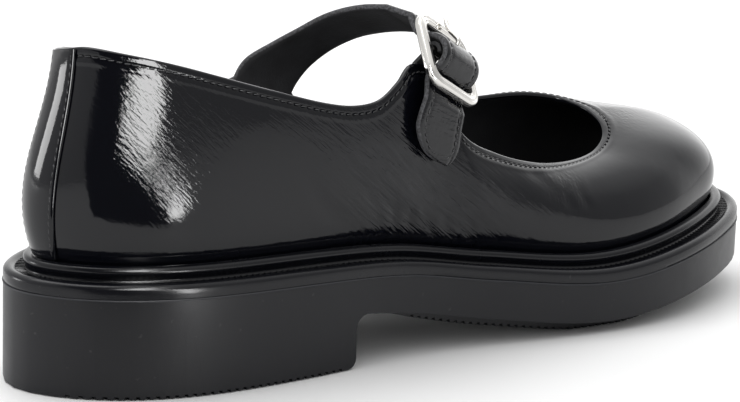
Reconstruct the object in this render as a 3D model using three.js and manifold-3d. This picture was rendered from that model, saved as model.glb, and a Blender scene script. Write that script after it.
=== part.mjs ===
// Mary jane shoe, right foot, EU 38.5, with a moulded heeled sole unit, a storm welt, a hollow upper,
// an instep strap and a bar buckle. Millimetres, +Z up, +X to the toe, -Y to the outer side.
// Tables are written with x = 0 at the back of the heel; the whole shoe is moved to the middle at the end.
import * as THREE from 'three';
import { mergeVertices } from 'three/examples/jsm/utils/BufferGeometryUtils.js';
import Module from 'manifold-3d';

const wasm = await Module();
wasm.setup();

const SOLE_LENGTH = 270;
const GAP = 0.3;
const SOLE_STATIONS = 48;
const WELT_DEPTH = 4.5;
const HEEL_BREAST_X = 94.7;
const HEEL_CORNER = 3;
const BREAST_FILLET = 4;
const TREAD_INSET = 7;
const SEAT_DROP = 1.8;
const INSOLE_THICK = 4;
const UPPER_INSET = 9.8;
const UPPER_WALL = 1.8;
const CREASE_RISE = 3;
const RIB_STEPS = 10;
const BACKSTAY_THICK = 1;
const BACKSTAY_HALF_LOW = 0.033;
const BACKSTAY_HALF_TOP = 0.034;
const STRAP_THICK = 2;
const BAR_RADIUS = 1.25;

// Sole outline: half widths to the outer and inner side of the long axis.
const outline = [
  { x: 4, outer: 11.8, inner: 12.2 },
  { x: 12, outer: 21.2, inner: 20.2 },
  { x: 25, outer: 29.9, inner: 27.4 },
  { x: 45, outer: 36.0, inner: 32.4 },
  { x: 65, outer: 37.8, inner: 33.2 },
  { x: 90, outer: 37.6, inner: 30.2 },
  { x: 115, outer: 36.6, inner: 28.0 },
  { x: 145, outer: 40.6, inner: 31.0 },
  { x: 175, outer: 46.7, inner: 39.0 },
  { x: 200, outer: 48.9, inner: 44.4 },
  { x: 225, outer: 45.2, inner: 45.8 },
  { x: 245, outer: 36.8, inner: 42.0 },
  { x: 260, outer: 26.6, inner: 33.0 },
  { x: 268, outer: 14.0, inner: 19.6 },
];
const HEEL_BACK_Y = -0.6;
const TOE_TIP_Y = 3;

// Height of the welt's lip above the floor along the sole, and depth of the wall's lower edge below it.
const lipRows = [
  { x: 0, z: 33.5, wall: 14.8 },
  { x: 40, z: 33.2, wall: 14.8 },
  { x: 85, z: 32.1, wall: 14.8 },
  { x: 115, z: 29.7, wall: 16.1 },
  { x: 145, z: 24.8, wall: 16.7 },
  { x: 185, z: 20.3, wall: 17.0 },
  { x: 230, z: 24.2, wall: 16.8 },
  { x: 270, z: 28.0, wall: 16.8 },
];

// Welt section: inset from the sole wall and rise from the lip, from the bottom edge to the seat.
const weltRows = [
  { inset: 0, rise: -WELT_DEPTH + GAP / 2 },
  { inset: 0, rise: -1.5 },
  { inset: 0.7, rise: -0.4 },
  { inset: 2.1, rise: 0 },
  { inset: 3.2, rise: -0.6 },
  { inset: 4, rise: -1.1 },
  { inset: 6.2, rise: -0.9 },
  { inset: 6.5, rise: 0.3 },
  { inset: 5.75, rise: 1.6 },
  { inset: 5.8, rise: 2.7 },
  { inset: 6.7, rise: 3.5 },
  { inset: 8, rise: 3.65 },
  { inset: 9.4, rise: 2.7 },
  { inset: 9.4, rise: -SEAT_DROP },
];

// Tread bottom under the forefoot: rolls up to the toe and to the waist, flat between.
const treadRows = [
  { x: 108, z: 13.7 },
  { x: 115, z: 11.6 },
  { x: 123, z: 9.3 },
  { x: 140, z: 5.5 },
  { x: 156, z: 2.9 },
  { x: 168, z: 1.0 },
  { x: 176, z: 0 },
  { x: 197, z: 0 },
  { x: 206, z: 1.1 },
  { x: 222, z: 3.2 },
  { x: 240, z: 5.2 },
  { x: 256, z: 7.0 },
  { x: 270, z: 8.6 },
];

// Ribs of the upper, from the feather crease to the top line, round the shoe from the back of the heel.
// at: 0 to 1 along the outer side to the toe, 1 to 2 back along the inner side.
// x, y, z: the rib's end on the top line. out and rise: handle at the crease. lean and drop: handle at the top.
const ribs = [
  { at: 0.0, steps: 2, x: 16.05, y: -0.8, z: 96.9, out: 9.2, rise: 22.6, lean: 1.9, drop: 23.9 },
  { at: 0.055, steps: 2, x: 18.3, y: -8.6, z: 98.2, out: 9.1, rise: 22.6, lean: 1.6, drop: 23.9 },
  { at: 0.115, steps: 3, x: 25.1, y: -15.8, z: 97.1, out: 7.8, rise: 20.5, lean: 2.4, drop: 21.9 },
  { at: 0.2, steps: 4, x: 40.1, y: -23.8, z: 93.5, out: 5.65, rise: 18.2, lean: 3.6, drop: 20 },
  { at: 0.3, steps: 4, x: 69, y: -29.8, z: 84.6, out: 4.4, rise: 16, lean: 3.6, drop: 17 },
  { at: 0.375, steps: 2, x: 91.5, y: -31.9, z: 78.5, out: 5.2, rise: 15, lean: 2.6, drop: 16 },
  { at: 0.405, steps: 2, x: 103.2, y: -32.4, z: 78.6, out: 5.6, rise: 15, lean: 2.4, drop: 15 },
  { at: 0.43, steps: 2, x: 111.2, y: -32.2, z: 83.6, out: 6, rise: 15, lean: 3, drop: 15 },
  { at: 0.45, steps: 2, x: 117.8, y: -29.8, z: 87.9, out: 6.2, rise: 15, lean: 4.6, drop: 14 },
  { at: 0.47, steps: 2, x: 126.8, y: -27.6, z: 85.4, out: 6.4, rise: 15, lean: 5.2, drop: 12 },
  { at: 0.49, steps: 2, x: 132.4, y: -28.8, z: 76, out: 6.4, rise: 14, lean: 4.4, drop: 12 },
  { at: 0.52, steps: 3, x: 137, y: -31.8, z: 65.2, out: 6.2, rise: 14, lean: 3.4, drop: 11 },
  { at: 0.58, steps: 3, x: 152, y: -30, z: 57.4, out: 5.2, rise: 13, lean: 5.2, drop: 8 },
  { at: 0.64, steps: 3, x: 170, y: -27, z: 51.9, out: 4.4, rise: 13, lean: 8.4, drop: 5 },
  { at: 0.7, steps: 3, x: 187, y: -22.2, z: 49.4, out: 3.6, rise: 14, lean: 11.5, drop: 2 },
  { at: 0.77, steps: 3, x: 201, y: -17, z: 49.2, out: 3.1, rise: 14.9, lean: 14.9, drop: -1 },
  { at: 0.84, steps: 3, x: 210.5, y: -12, z: 51.6, out: 3.9, rise: 15.3, lean: 18.4, drop: -1.5 },
  { at: 0.92, steps: 3, x: 216.6, y: -5, z: 54.8, out: 8.2, rise: 17.8, lean: 24.3, drop: -0.7 },
  { at: 1.0, steps: 3, x: 219, y: 3, z: 57.3, out: 10.5, rise: 20.6, lean: 29, drop: 0.2 },
  { at: 1.08, steps: 3, x: 218.4, y: 10, z: 59, out: 8.9, rise: 19.2, lean: 25.4, drop: 2.9 },
  { at: 1.16, steps: 3, x: 214, y: 17, z: 60.6, out: 6.7, rise: 18, lean: 20, drop: 3.2 },
  { at: 1.23, steps: 3, x: 206, y: 22.4, z: 61.3, out: 4.7, rise: 16.8, lean: 15.8, drop: 3 },
  { at: 1.3, steps: 3, x: 194, y: 26.4, z: 60.8, out: 3.7, rise: 15.8, lean: 11.8, drop: 4.5 },
  { at: 1.38, steps: 4, x: 172, y: 28.8, z: 60.4, out: 6.4, rise: 16, lean: 7, drop: 9 },
  { at: 1.48, steps: 3, x: 140, y: 29.6, z: 61.4, out: 8.6, rise: 15, lean: 3.6, drop: 13 },
  { at: 1.535, steps: 2, x: 119.6, y: 29.6, z: 66.4, out: 8.8, rise: 15, lean: 2.8, drop: 15 },
  { at: 1.56, steps: 2, x: 114.6, y: 28.6, z: 71.6, out: 8.6, rise: 15, lean: 3.4, drop: 14 },
  { at: 1.58, steps: 2, x: 109.6, y: 27.6, z: 76.6, out: 8.4, rise: 15, lean: 4, drop: 14 },
  { at: 1.605, steps: 2, x: 102.2, y: 26.8, z: 79.8, out: 8, rise: 15, lean: 4.2, drop: 14 },
  { at: 1.63, steps: 2, x: 96.4, y: 27.4, z: 77.6, out: 7.6, rise: 15, lean: 3.4, drop: 15 },
  { at: 1.66, steps: 3, x: 89, y: 27.8, z: 75.8, out: 7, rise: 16, lean: 2.8, drop: 16 },
  { at: 1.72, steps: 4, x: 71, y: 26.8, z: 81.8, out: 5.4, rise: 17, lean: 3.6, drop: 17 },
  { at: 1.81, steps: 3, x: 42.1, y: 22, z: 90, out: 5.85, rise: 19.2, lean: 4, drop: 20 },
  { at: 1.885, steps: 2, x: 25.9, y: 15.4, z: 93.8, out: 7.8, rise: 20.5, lean: 2.2, drop: 21.9 },
  { at: 1.945, steps: 2, x: 18.3, y: 8, z: 95.4, out: 9.1, rise: 21.6, lean: 1.6, drop: 22.9 },
];

// Strap over the instep: its back and front edges, from the root inside the inner quarter to the buckle.
const strapRows = [
  { bx: 87.8, by: 24.0, bz: 66.0, fx: 109.0, fy: 23.9, fz: 59.4 },
  { bx: 91.3, by: 24.3, bz: 75.6, fx: 112.2, fy: 24.7, fz: 66.8 },
  { bx: 95.3, by: 23.4, bz: 82.2, fx: 115.2, fy: 24.2, fz: 73.0 },
  { bx: 103.0, by: 20.4, bz: 87.1, fx: 118.9, fy: 21.6, fz: 79.0 },
  { bx: 108.2, by: 15.0, bz: 91.6, fx: 123.3, fy: 16.6, fz: 84.6 },
  { bx: 112.2, by: 8.4, bz: 96.3, fx: 127.8, fy: 10.0, fz: 88.9 },
  { bx: 115.4, by: 2.0, bz: 99.3, fx: 131.6, fy: 3.4, fz: 91.2 },
  { bx: 118.6, by: -4.2, bz: 101.1, fx: 135.2, fy: -2.8, fz: 92.4 },
  { bx: 122.0, by: -10.2, bz: 101.8, fx: 138.4, fy: -8.2, fz: 92.6 },
];

// Strap through the buckle: along the strap and off the buckle's plane, from above its top bar to below.
const threadRows = [
  { along: 14.8, off: -4 },
  { along: 11.4, off: -3.7 },
  { along: 7.4, off: -2.5 },
  { along: 4.7, off: 1.8 },
  { along: 2.5, off: 4 },
  { along: -0.2, off: 4.9 },
  { along: -3.2, off: 4.5 },
  { along: -5.6, off: 2.2 },
  { along: -7.2, off: -2.2 },
  { along: -10.3, off: -3.6 },
];

// Free end of the strap, lying down the outer quarter: its edges to the rounded tip.
const tipRows = [
  { bx: 118.2, by: -36.2, bz: 79.2, fx: 134.4, fy: -34.4, fz: 71.2 },
  { bx: 116.2, by: -36.5, bz: 74.8, fx: 132.7, fy: -35.4, fz: 66.6 },
  { bx: 115.2, by: -36.6, bz: 70.8, fx: 131.8, fy: -35.9, fz: 62.6 },
  { bx: 116.2, by: -36.6, bz: 66.6, fx: 130.6, fy: -36.2, fz: 60.2 },
  { bx: 118.6, by: -36.6, bz: 62.6, fx: 129, fy: -36.4, fz: 58.4 },
  { bx: 122.4, by: -36.7, bz: 59.6, fx: 126.8, fy: -36.6, fz: 57.4 },
];

// Buckle tab: leather loop round the centre bar, its tail inside the ear of the outer quarter.
const tabRows = [
  { along: -1.4, off: 2.3 },
  { along: 0.4, off: 2.4 },
  { along: 1.9, off: 1.6 },
  { along: 2.5, off: 0.1 },
  { along: 1.9, off: -1.5 },
  { along: 0.4, off: -3.4 },
  { along: -1.0, off: -6.8 },
  { along: -3.8, off: -10.2 },
  { along: -8.4, off: -12.4 },
  { along: -13.5, off: -14.4 },
];

// Prong: from its ring on the centre bar, out through the strap and over the top bar.
const prongRows = [
  { along: 1.3, off: 1.9 },
  { along: 2.7, off: 3.9 },
  { along: 4.6, off: 5.3 },
  { along: 7.2, off: 4.3 },
  { along: 10.2, off: 3 },
  { along: 14.6, off: 2.6 },
];

const BUCKLE_CENTRE = { x: 132.2, y: -28.2, z: 87.2 };
const BUCKLE_ACROSS = { x: 0.86, y: 0.19, z: -0.48 };
const BUCKLE_ALONG = { x: 0.25, y: 0.66, z: 0.71 };
const BUCKLE_WIDE = 27.2;
const BUCKLE_HIGH = 25.4;
const BUCKLE_CORNER = 6.2;
const BUCKLE_BAR = 3.6;
const BUCKLE_THICK = 2.6;
const STRAP_WIDE = 18.4;
const TAB_WIDE = 16.6;
const TAB_THICK = 1.2;
const TAB_SLOT = 3;
const PRONG_RADIUS = 0.8;

function vec(x, y, z) {
  return new THREE.Vector3(x, y, z);
}

function clamp(value, low, high) {
  return Math.min(high, Math.max(low, value));
}

// Smooth curve through rows of a table, key against value, with even tangents.
function tableCurve(rows, key, value) {
  const slopes = rows.map((row, i) => {
    const before = rows[Math.max(0, i - 1)];
    const after = rows[Math.min(rows.length - 1, i + 1)];
    return (after[value] - before[value]) / (after[key] - before[key]);
  });
  return (t) => {
    const at = clamp(t, rows[0][key], rows[rows.length - 1][key]);
    let i = 0;
    while (i < rows.length - 2 && at > rows[i + 1][key]) {
      i += 1;
    }
    const span = rows[i + 1][key] - rows[i][key];
    const s = (at - rows[i][key]) / span;
    const h1 = 2 * s ** 3 - 3 * s ** 2 + 1;
    const h2 = s ** 3 - 2 * s ** 2 + s;
    const h4 = s ** 3 - s ** 2;
    return h1 * rows[i][value] + h2 * span * slopes[i] + (1 - h1) * rows[i + 1][value] + h4 * span * slopes[i + 1];
  };
}

const lipHeight = tableCurve(lipRows, 'x', 'z');
const wallDepth = tableCurve(lipRows, 'x', 'wall');
const treadHeight = tableCurve(treadRows, 'x', 'z');

// Closed curve through plan points with even curvature, as a function of length from the first point.
function loopCurve(points) {
  const count = points.length;
  const spans = points.map((p, i) => p.distanceTo(points[(i + 1) % count]));
  const tangents = points.map(() => new THREE.Vector2());
  for (let round = 0; round < 80; round += 1) {
    for (let i = 0; i < count; i += 1) {
      const before = (i + count - 1) % count;
      const after = (i + 1) % count;
      const a = spans[before];
      const b = spans[i];
      for (const axis of ['x', 'y']) {
        const rise = 3 * ((points[i][axis] - points[before][axis]) * b / a
          + (points[after][axis] - points[i][axis]) * a / b);
        const pull = b * tangents[before][axis] + a * tangents[after][axis];
        tangents[i][axis] = (rise - pull) / (2 * (a + b));
      }
    }
  }
  return { points, spans, tangents };
}

function loopPoint(loop, index, s) {
  const next = (index + 1) % loop.points.length;
  const span = loop.spans[index];
  const h1 = 2 * s ** 3 - 3 * s ** 2 + 1;
  const h2 = s ** 3 - 2 * s ** 2 + s;
  const h4 = s ** 3 - s ** 2;
  return new THREE.Vector2()
    .addScaledVector(loop.points[index], h1)
    .addScaledVector(loop.tangents[index], h2 * span)
    .addScaledVector(loop.points[next], 1 - h1)
    .addScaledVector(loop.tangents[next], h4 * span);
}

const outer = outline.map((row) => new THREE.Vector2(row.x, -row.outer));
const inner = outline.map((row) => new THREE.Vector2(row.x, row.inner)).reverse();
const heelBack = new THREE.Vector2(0, HEEL_BACK_Y);
const toeTip = new THREE.Vector2(SOLE_LENGTH, TOE_TIP_Y);
const soleLoop = loopCurve([heelBack, ...outer, toeTip, ...inner]);

// Fine walk round the outline, split at heel and toe, so that a place is a share of its own side.
const FINE = 24;
function walkSide(first, last) {
  const places = [];
  for (let index = first; index < last; index += 1) {
    for (let step = 0; step < FINE; step += 1) {
      places.push(loopPoint(soleLoop, index, step / FINE));
    }
  }
  places.push(loopPoint(soleLoop, last - 1, 1));
  const lengths = [0];
  for (let i = 1; i < places.length; i += 1) {
    lengths.push(lengths[i - 1] + places[i].distanceTo(places[i - 1]));
  }
  return { places, lengths };
}

const sides = [walkSide(0, outline.length + 1), walkSide(outline.length + 1, 2 * outline.length + 2)];

// Point of the outline at a place round the shoe: 0 to 1 along the outer side, 1 to 2 back along the inner.
function outlinePoint(at) {
  const place = ((at % 2) + 2) % 2;
  const side = sides[place < 1 ? 0 : 1];
  const want = (place % 1) * side.lengths[side.lengths.length - 1];
  let i = 0;
  while (i < side.lengths.length - 2 && side.lengths[i + 1] < want) {
    i += 1;
  }
  const s = (want - side.lengths[i]) / (side.lengths[i + 1] - side.lengths[i]);
  return side.places[i].clone().lerp(side.places[i + 1], s);
}

// Outward direction in plan at a place.
function outward(at) {
  const before = outlinePoint(at - 0.005);
  const after = outlinePoint(at + 0.005);
  return new THREE.Vector2(after.y - before.y, before.x - after.x).normalize();
}

// Point inside the sole wall by inset, at a rise from the lip or at a height of its own.
function wallPoint(at, inset, rise) {
  const plan = outlinePoint(at).addScaledVector(outward(at), -inset);
  return vec(plan.x, plan.y, lipHeight(plan.x) + rise);
}

// Triangles and points gathered into one geometry.
class Shell {
  constructor() {
    this.points = [];
    this.faces = [];
  }

  add(point) {
    this.points.push(point);
    return this.points.length - 1;
  }

  quad(a, b, c, d) {
    this.faces.push([a, b, c], [a, c, d]);
  }

  // Rings of point numbers, each joined to the next; closed rings run round.
  skin(rings, closed) {
    for (let r = 0; r + 1 < rings.length; r += 1) {
      const count = rings[r].length;
      const last = closed ? count : count - 1;
      for (let i = 0; i < last; i += 1) {
        const j = (i + 1) % count;
        this.quad(rings[r][i], rings[r][j], rings[r + 1][j], rings[r + 1][i]);
      }
    }
  }

  // Strips across a ring, from a place on the outer side to its partner on the inner side.
  strips(ring, up) {
    const count = ring.length;
    for (let i = 0; i < count / 2; i += 1) {
      const a = ring[i];
      const b = ring[i + 1];
      const c = ring[(count - i - 1) % count];
      const d = ring[(count - i) % count];
      const corners = [a, b, c, d].filter((v, k, all) => all.indexOf(v) === k);
      for (let k = 1; k + 1 < corners.length; k += 1) {
        const face = [corners[0], corners[k], corners[k + 1]];
        this.faces.push(up ? face : face.reverse());
      }
    }
  }

  geometry() {
    const made = new THREE.BufferGeometry();
    made.setAttribute('position', new THREE.Float32BufferAttribute(this.points.flatMap((p) => p.toArray()), 3));
    made.setIndex(this.faces.flat());
    return made;
  }
}

function solid(geometry) {
  const bare = new THREE.BufferGeometry();
  bare.setAttribute('position', geometry.getAttribute('position').clone());
  bare.setIndex(geometry.index ? geometry.index.clone() : null);
  const merged = mergeVertices(bare, 1e-4);
  return new wasm.Manifold(new wasm.Mesh({
    numProp: 3,
    vertProperties: new Float32Array(merged.getAttribute('position').array),
    triVerts: new Uint32Array(merged.index.array),
  }));
}

function fromSolid(made) {
  const mesh = made.getMesh();
  const geometry = new THREE.BufferGeometry();
  geometry.setAttribute('position', new THREE.BufferAttribute(new Float32Array(mesh.vertProperties), 3));
  geometry.setIndex(new THREE.BufferAttribute(new Uint32Array(mesh.triVerts), 1));
  return geometry;
}

// Slab between two heights inside the sole wall, its heights given as functions of the plan point.
function slab(inset, low, high, stations) {
  const shell = new Shell();
  const rings = [low, high].map((height) => {
    const ring = [];
    for (let i = 0; i < 2 * stations; i += 1) {
      const plan = wallPoint(i / stations, inset, 0);
      ring.push(shell.add(vec(plan.x, plan.y, height(plan.x))));
    }
    return ring;
  });
  shell.skin(rings, true);
  shell.strips(rings[0], false);
  shell.strips(rings[1], true);
  return shell.geometry();
}

// Side view profile, points of x and z, drawn out across the whole width.
function profileBlock(points) {
  const shape = new THREE.Shape(points.map((p) => new THREE.Vector2(p.x, p.z)));
  const block = new THREE.ExtrudeGeometry(shape, { depth: 140, bevelEnabled: false });
  block.rotateX(Math.PI / 2);
  block.translate(0, 70, 0);
  return block;
}

function rangeOf(from, to, count) {
  return Array.from({ length: count + 1 }, (unused, i) => from + (to - from) * i / count);
}

// Outsole: wall slab under the welt, heel block and forefoot tread, moulded in one.
function makeOutsole() {
  const partTop = (x) => lipHeight(x) - WELT_DEPTH - GAP / 2;
  const wallBottom = (x) => lipHeight(x) - wallDepth(x);
  const body = solid(slab(0, wallBottom, partTop, SOLE_STATIONS));
  const corner = rangeOf(0, 90, 4).map((degrees) => {
    const turn = THREE.MathUtils.degToRad(degrees);
    return {
      x: HEEL_BREAST_X - HEEL_CORNER + HEEL_CORNER * Math.sin(turn),
      z: HEEL_CORNER - HEEL_CORNER * Math.cos(turn),
    };
  });
  const fillet = rangeOf(0, 90, 4).map((degrees) => {
    const turn = THREE.MathUtils.degToRad(degrees);
    return {
      x: HEEL_BREAST_X + BREAST_FILLET - BREAST_FILLET * Math.cos(turn),
      z: wallBottom(HEEL_BREAST_X + BREAST_FILLET) - BREAST_FILLET + BREAST_FILLET * Math.sin(turn) + 0.02,
    };
  });
  const heelSide = [
    { x: -5, z: 0 },
    ...corner,
    ...fillet,
    { x: HEEL_BREAST_X + BREAST_FILLET, z: wallBottom(HEEL_BREAST_X) + 4 },
    { x: -5, z: wallBottom(HEEL_BREAST_X) + 4 },
  ];
  const heelColumn = solid(slab(0, () => -1, () => 24, SOLE_STATIONS));
  const heel = heelColumn.intersect(solid(profileBlock(heelSide)));
  const treadXs = rangeOf(treadRows[0].x, SOLE_LENGTH, 26);
  const treadSide = [
    ...treadXs.map((x) => ({ x, z: Math.max(0, treadHeight(x)) })),
    ...treadXs.slice().reverse().map((x) => ({ x, z: wallBottom(x) + 3 })),
  ];
  const treadColumn = solid(slab(TREAD_INSET, () => -1, () => 24, SOLE_STATIONS));
  const tread = treadColumn.intersect(solid(profileBlock(treadSide)));
  return fromSolid(body.add(heel).add(tread));
}

// Welt: moulded strip with a rounded lip, a groove and a bead, over a seat for the upper and insole.
function makeWelt() {
  const shell = new Shell();
  const rings = weltRows.map((row) => {
    const ring = [];
    for (let i = 0; i < 2 * SOLE_STATIONS; i += 1) {
      ring.push(shell.add(wallPoint(i / SOLE_STATIONS, row.inset, row.rise)));
    }
    return ring;
  });
  shell.skin(rings, true);
  shell.strips(rings[0], false);
  shell.strips(rings[rings.length - 1], true);
  return shell.geometry();
}

// Insole: footbed inside the upper, on the welt's seat.
function makeInsole() {
  const low = (x) => lipHeight(x) - SEAT_DROP + GAP;
  const high = (x) => lipHeight(x) - SEAT_DROP + GAP + INSOLE_THICK;
  return slab(UPPER_INSET + UPPER_WALL + 1.6 * GAP, low, high, SOLE_STATIONS - 8);
}

const ribRows = [...ribs, ...ribs.slice(0, 3).map((row) => ({ ...row, at: row.at + 2 }))];
ribRows.unshift(...ribs.slice(-3).map((row) => ({ ...row, at: row.at - 2 })));
const ribCurves = Object.fromEntries(
  ['x', 'y', 'z', 'out', 'rise', 'lean', 'drop'].map((name) => [name, tableCurve(ribRows, 'at', name)]),
);

// Outer face of the upper: place round the shoe, and height 0 at the crease to 1 at the top line.
function upperPoint(at, up) {
  const dir = outward(at);
  const side = vec(dir.x, dir.y, 0);
  const foot = wallPoint(at, UPPER_INSET, CREASE_RISE);
  const top = vec(ribCurves.x(at), ribCurves.y(at), ribCurves.z(at));
  const low = foot.clone().addScaledVector(side, ribCurves.out(at));
  low.z += ribCurves.rise(at);
  const high = top.clone().addScaledVector(side, ribCurves.lean(at));
  high.z -= ribCurves.drop(at);
  const k = 1 - up;
  return foot.multiplyScalar(k ** 3)
    .addScaledVector(low, 3 * k * k * up)
    .addScaledVector(high, 3 * k * up * up)
    .addScaledVector(top, up ** 3);
}

function upperNormal(at, up) {
  const step = 0.004;
  const along = upperPoint(at + step, up).sub(upperPoint(at - step, up));
  const rise = upperPoint(at, Math.min(1, up + 0.02)).sub(upperPoint(at, Math.max(0, up - 0.02)));
  return along.cross(rise).normalize();
}

// Places of the upper's ribs, each interval of the table cut into its steps.
function ribPlaces() {
  return ribs.flatMap((row, i) => {
    const next = i + 1 < ribs.length ? ribs[i + 1].at : 2;
    return rangeOf(row.at, next, row.steps).slice(0, -1);
  });
}

// One sheet between two depths off the upper's outer face, with its edges closed.
function upperSheet(places, ups, near, far, closed, skirt, scale = () => 1) {
  const shell = new Shell();
  const ring = (depth, up) => places.map((at) => {
    const place = at * scale(up);
    return shell.add(upperPoint(place, up).addScaledVector(upperNormal(place, up), -depth));
  });
  const foot = (depth) => places.map((at) => shell.add(wallPoint(at, UPPER_INSET + depth, -SEAT_DROP + GAP)));
  const outside = ups.map((up) => ring(near, up));
  const inside = ups.map((up) => ring(far, up)).reverse();
  const rings = skirt ? [foot(near), ...outside, ...inside, foot(far)] : [...outside, ...inside];
  shell.skin([...rings, rings[0]], closed);
  if (!closed) {
    for (const end of [0, places.length - 1]) {
      const loop = rings.map((one) => one[end]);
      for (let i = 0; i + 1 < loop.length / 2; i += 1) {
        const face = [loop[i], loop[i + 1], loop[loop.length - 2 - i], loop[loop.length - 1 - i]];
        const order = end === 0 ? face : face.reverse();
        shell.quad(...order);
      }
    }
  }
  return shell.geometry();
}

function makeUpper() {
  return upperSheet(ribPlaces(), rangeOf(0, 1, RIB_STEPS), 0, UPPER_WALL, true, true);
}

// Backstay: tapered strip over the heel seam, from the bead to the top line.
function makeBackstay() {
  const shares = rangeOf(-1, 1, 8);
  const half = (up) => BACKSTAY_HALF_LOW + (BACKSTAY_HALF_TOP - BACKSTAY_HALF_LOW) * up;
  return upperSheet(shares, rangeOf(0.02, 0.995, 12), -GAP - BACKSTAY_THICK, -GAP, false, false, half);
}

// Ribbon between its two edges, with the same thickness all along.
function ribbon(rows, thick) {
  const shell = new Shell();
  const backs = rows.map((row) => vec(row.bx, row.by, row.bz));
  const fronts = rows.map((row) => vec(row.fx, row.fy, row.fz));
  const rings = rows.map((row, i) => {
    const a = Math.max(0, i - 1);
    const b = Math.min(rows.length - 1, i + 1);
    const along = backs[b].clone().add(fronts[b]).sub(backs[a]).sub(fronts[a]);
    const across = fronts[i].clone().sub(backs[i]);
    const out = across.cross(along).normalize().multiplyScalar(thick / 2);
    return [
      shell.add(backs[i].clone().add(out)),
      shell.add(fronts[i].clone().add(out)),
      shell.add(fronts[i].clone().sub(out)),
      shell.add(backs[i].clone().sub(out)),
    ];
  });
  shell.skin(rings.map((ring) => [...ring, ring[0]]), false);
  shell.quad(...rings[0].slice().reverse());
  shell.quad(...rings[rings.length - 1]);
  return solid(shell.geometry());
}

// Rows of a ribbon made finer, each column on a smooth curve.
function finer(rows, steps) {
  const keyed = rows.map((row, i) => ({ ...row, i }));
  const names = Object.keys(rows[0]);
  const curves = names.map((name) => tableCurve(keyed, 'i', name));
  const places = rangeOf(0, rows.length - 1, (rows.length - 1) * steps);
  return places.map((t) => Object.fromEntries(names.map((name, k) => [name, curves[k](t)])));
}

// The buckle's own directions: across the strap, along it towards the instep, and outward.
const across = vec(BUCKLE_ACROSS.x, BUCKLE_ACROSS.y, BUCKLE_ACROSS.z).normalize();
const rough = vec(BUCKLE_ALONG.x, BUCKLE_ALONG.y, BUCKLE_ALONG.z);
const along = rough.addScaledVector(across, -rough.dot(across)).normalize();
const off = across.clone().cross(along);
const buckleFrame = new THREE.Matrix4().makeBasis(across, along, off)
  .setPosition(BUCKLE_CENTRE.x, BUCKLE_CENTRE.y, BUCKLE_CENTRE.z);

function atBuckle(u, v, n) {
  return vec(u, v, n).applyMatrix4(buckleFrame);
}

function buckleRow(row, half) {
  const back = atBuckle(-half, row.along, row.off);
  const front = atBuckle(half, row.along, row.off);
  return { bx: back.x, by: back.y, bz: back.z, fx: front.x, fy: front.y, fz: front.z };
}

// Round bar or wire through a row of points.
function wire(points, radius, facets) {
  const shell = new Shell();
  const rings = points.map((point, i) => {
    const a = points[Math.max(0, i - 1)];
    const b = points[Math.min(points.length - 1, i + 1)];
    const run = b.clone().sub(a).normalize();
    const one = across.clone().addScaledVector(run, -run.dot(across));
    const side = (one.length() > 0.1 ? one : along.clone()).normalize();
    const other = run.clone().cross(side);
    return rangeOf(0, 2 * Math.PI, facets).slice(0, -1).map((turn) => shell.add(point.clone()
      .addScaledVector(side, radius * Math.cos(turn))
      .addScaledVector(other, radius * Math.sin(turn))));
  });
  shell.skin(rings.map((ring) => [...ring, ring[0]]), false);
  const first = shell.add(points[0]);
  const last = shell.add(points[points.length - 1]);
  for (let i = 0; i < facets; i += 1) {
    const j = (i + 1) % facets;
    shell.faces.push([rings[0][j], rings[0][i], first]);
    shell.faces.push([rings[rings.length - 1][i], rings[rings.length - 1][j], last]);
  }
  return solid(shell.geometry());
}

function prongPath() {
  return finer(prongRows, 2).map((row) => atBuckle(0, row.along, row.off));
}

function makeStrap() {
  const thread = threadRows.map((row) => buckleRow(row, STRAP_WIDE / 2));
  const rows = [...finer(strapRows, 2), ...finer(thread, 2), ...finer(tipRows, 2)];
  return fromSolid(ribbon(rows, STRAP_THICK).subtract(wire(prongPath(), PRONG_RADIUS + GAP, 10)));
}

function roundedPath(shape, halfWide, halfHigh, corner) {
  shape.moveTo(-halfWide + corner, -halfHigh);
  shape.lineTo(halfWide - corner, -halfHigh);
  shape.absarc(halfWide - corner, -halfHigh + corner, corner, -Math.PI / 2, 0, false);
  shape.lineTo(halfWide, halfHigh - corner);
  shape.absarc(halfWide - corner, halfHigh - corner, corner, 0, Math.PI / 2, false);
  shape.lineTo(-halfWide + corner, halfHigh);
  shape.absarc(-halfWide + corner, halfHigh - corner, corner, Math.PI / 2, Math.PI, false);
  shape.lineTo(-halfWide, -halfHigh + corner);
  shape.absarc(-halfWide + corner, -halfHigh + corner, corner, Math.PI, 1.5 * Math.PI, false);
  return shape;
}

// Buckle: rounded frame with its centre bar.
function makeBuckle() {
  const edge = 0.5;
  const shape = roundedPath(new THREE.Shape(), BUCKLE_WIDE / 2 - edge, BUCKLE_HIGH / 2 - edge, BUCKLE_CORNER - edge);
  const inside = BUCKLE_BAR - edge;
  shape.holes.push(roundedPath(
    new THREE.Path(),
    BUCKLE_WIDE / 2 - inside,
    BUCKLE_HIGH / 2 - inside,
    BUCKLE_CORNER - inside,
  ));
  const ring = new THREE.ExtrudeGeometry(shape, {
    depth: BUCKLE_THICK - 2 * edge,
    bevelThickness: edge,
    bevelSize: edge,
    bevelSegments: 1,
    curveSegments: 5,
  });
  ring.translate(0, 0, edge - BUCKLE_THICK / 2);
  ring.applyMatrix4(buckleFrame);
  const reach = BUCKLE_WIDE / 2 - BUCKLE_BAR / 2;
  const bar = wire([atBuckle(-reach, 0, 0), atBuckle(reach, 0, 0)], BAR_RADIUS, 12);
  return fromSolid(solid(ring).add(bar));
}

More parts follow.
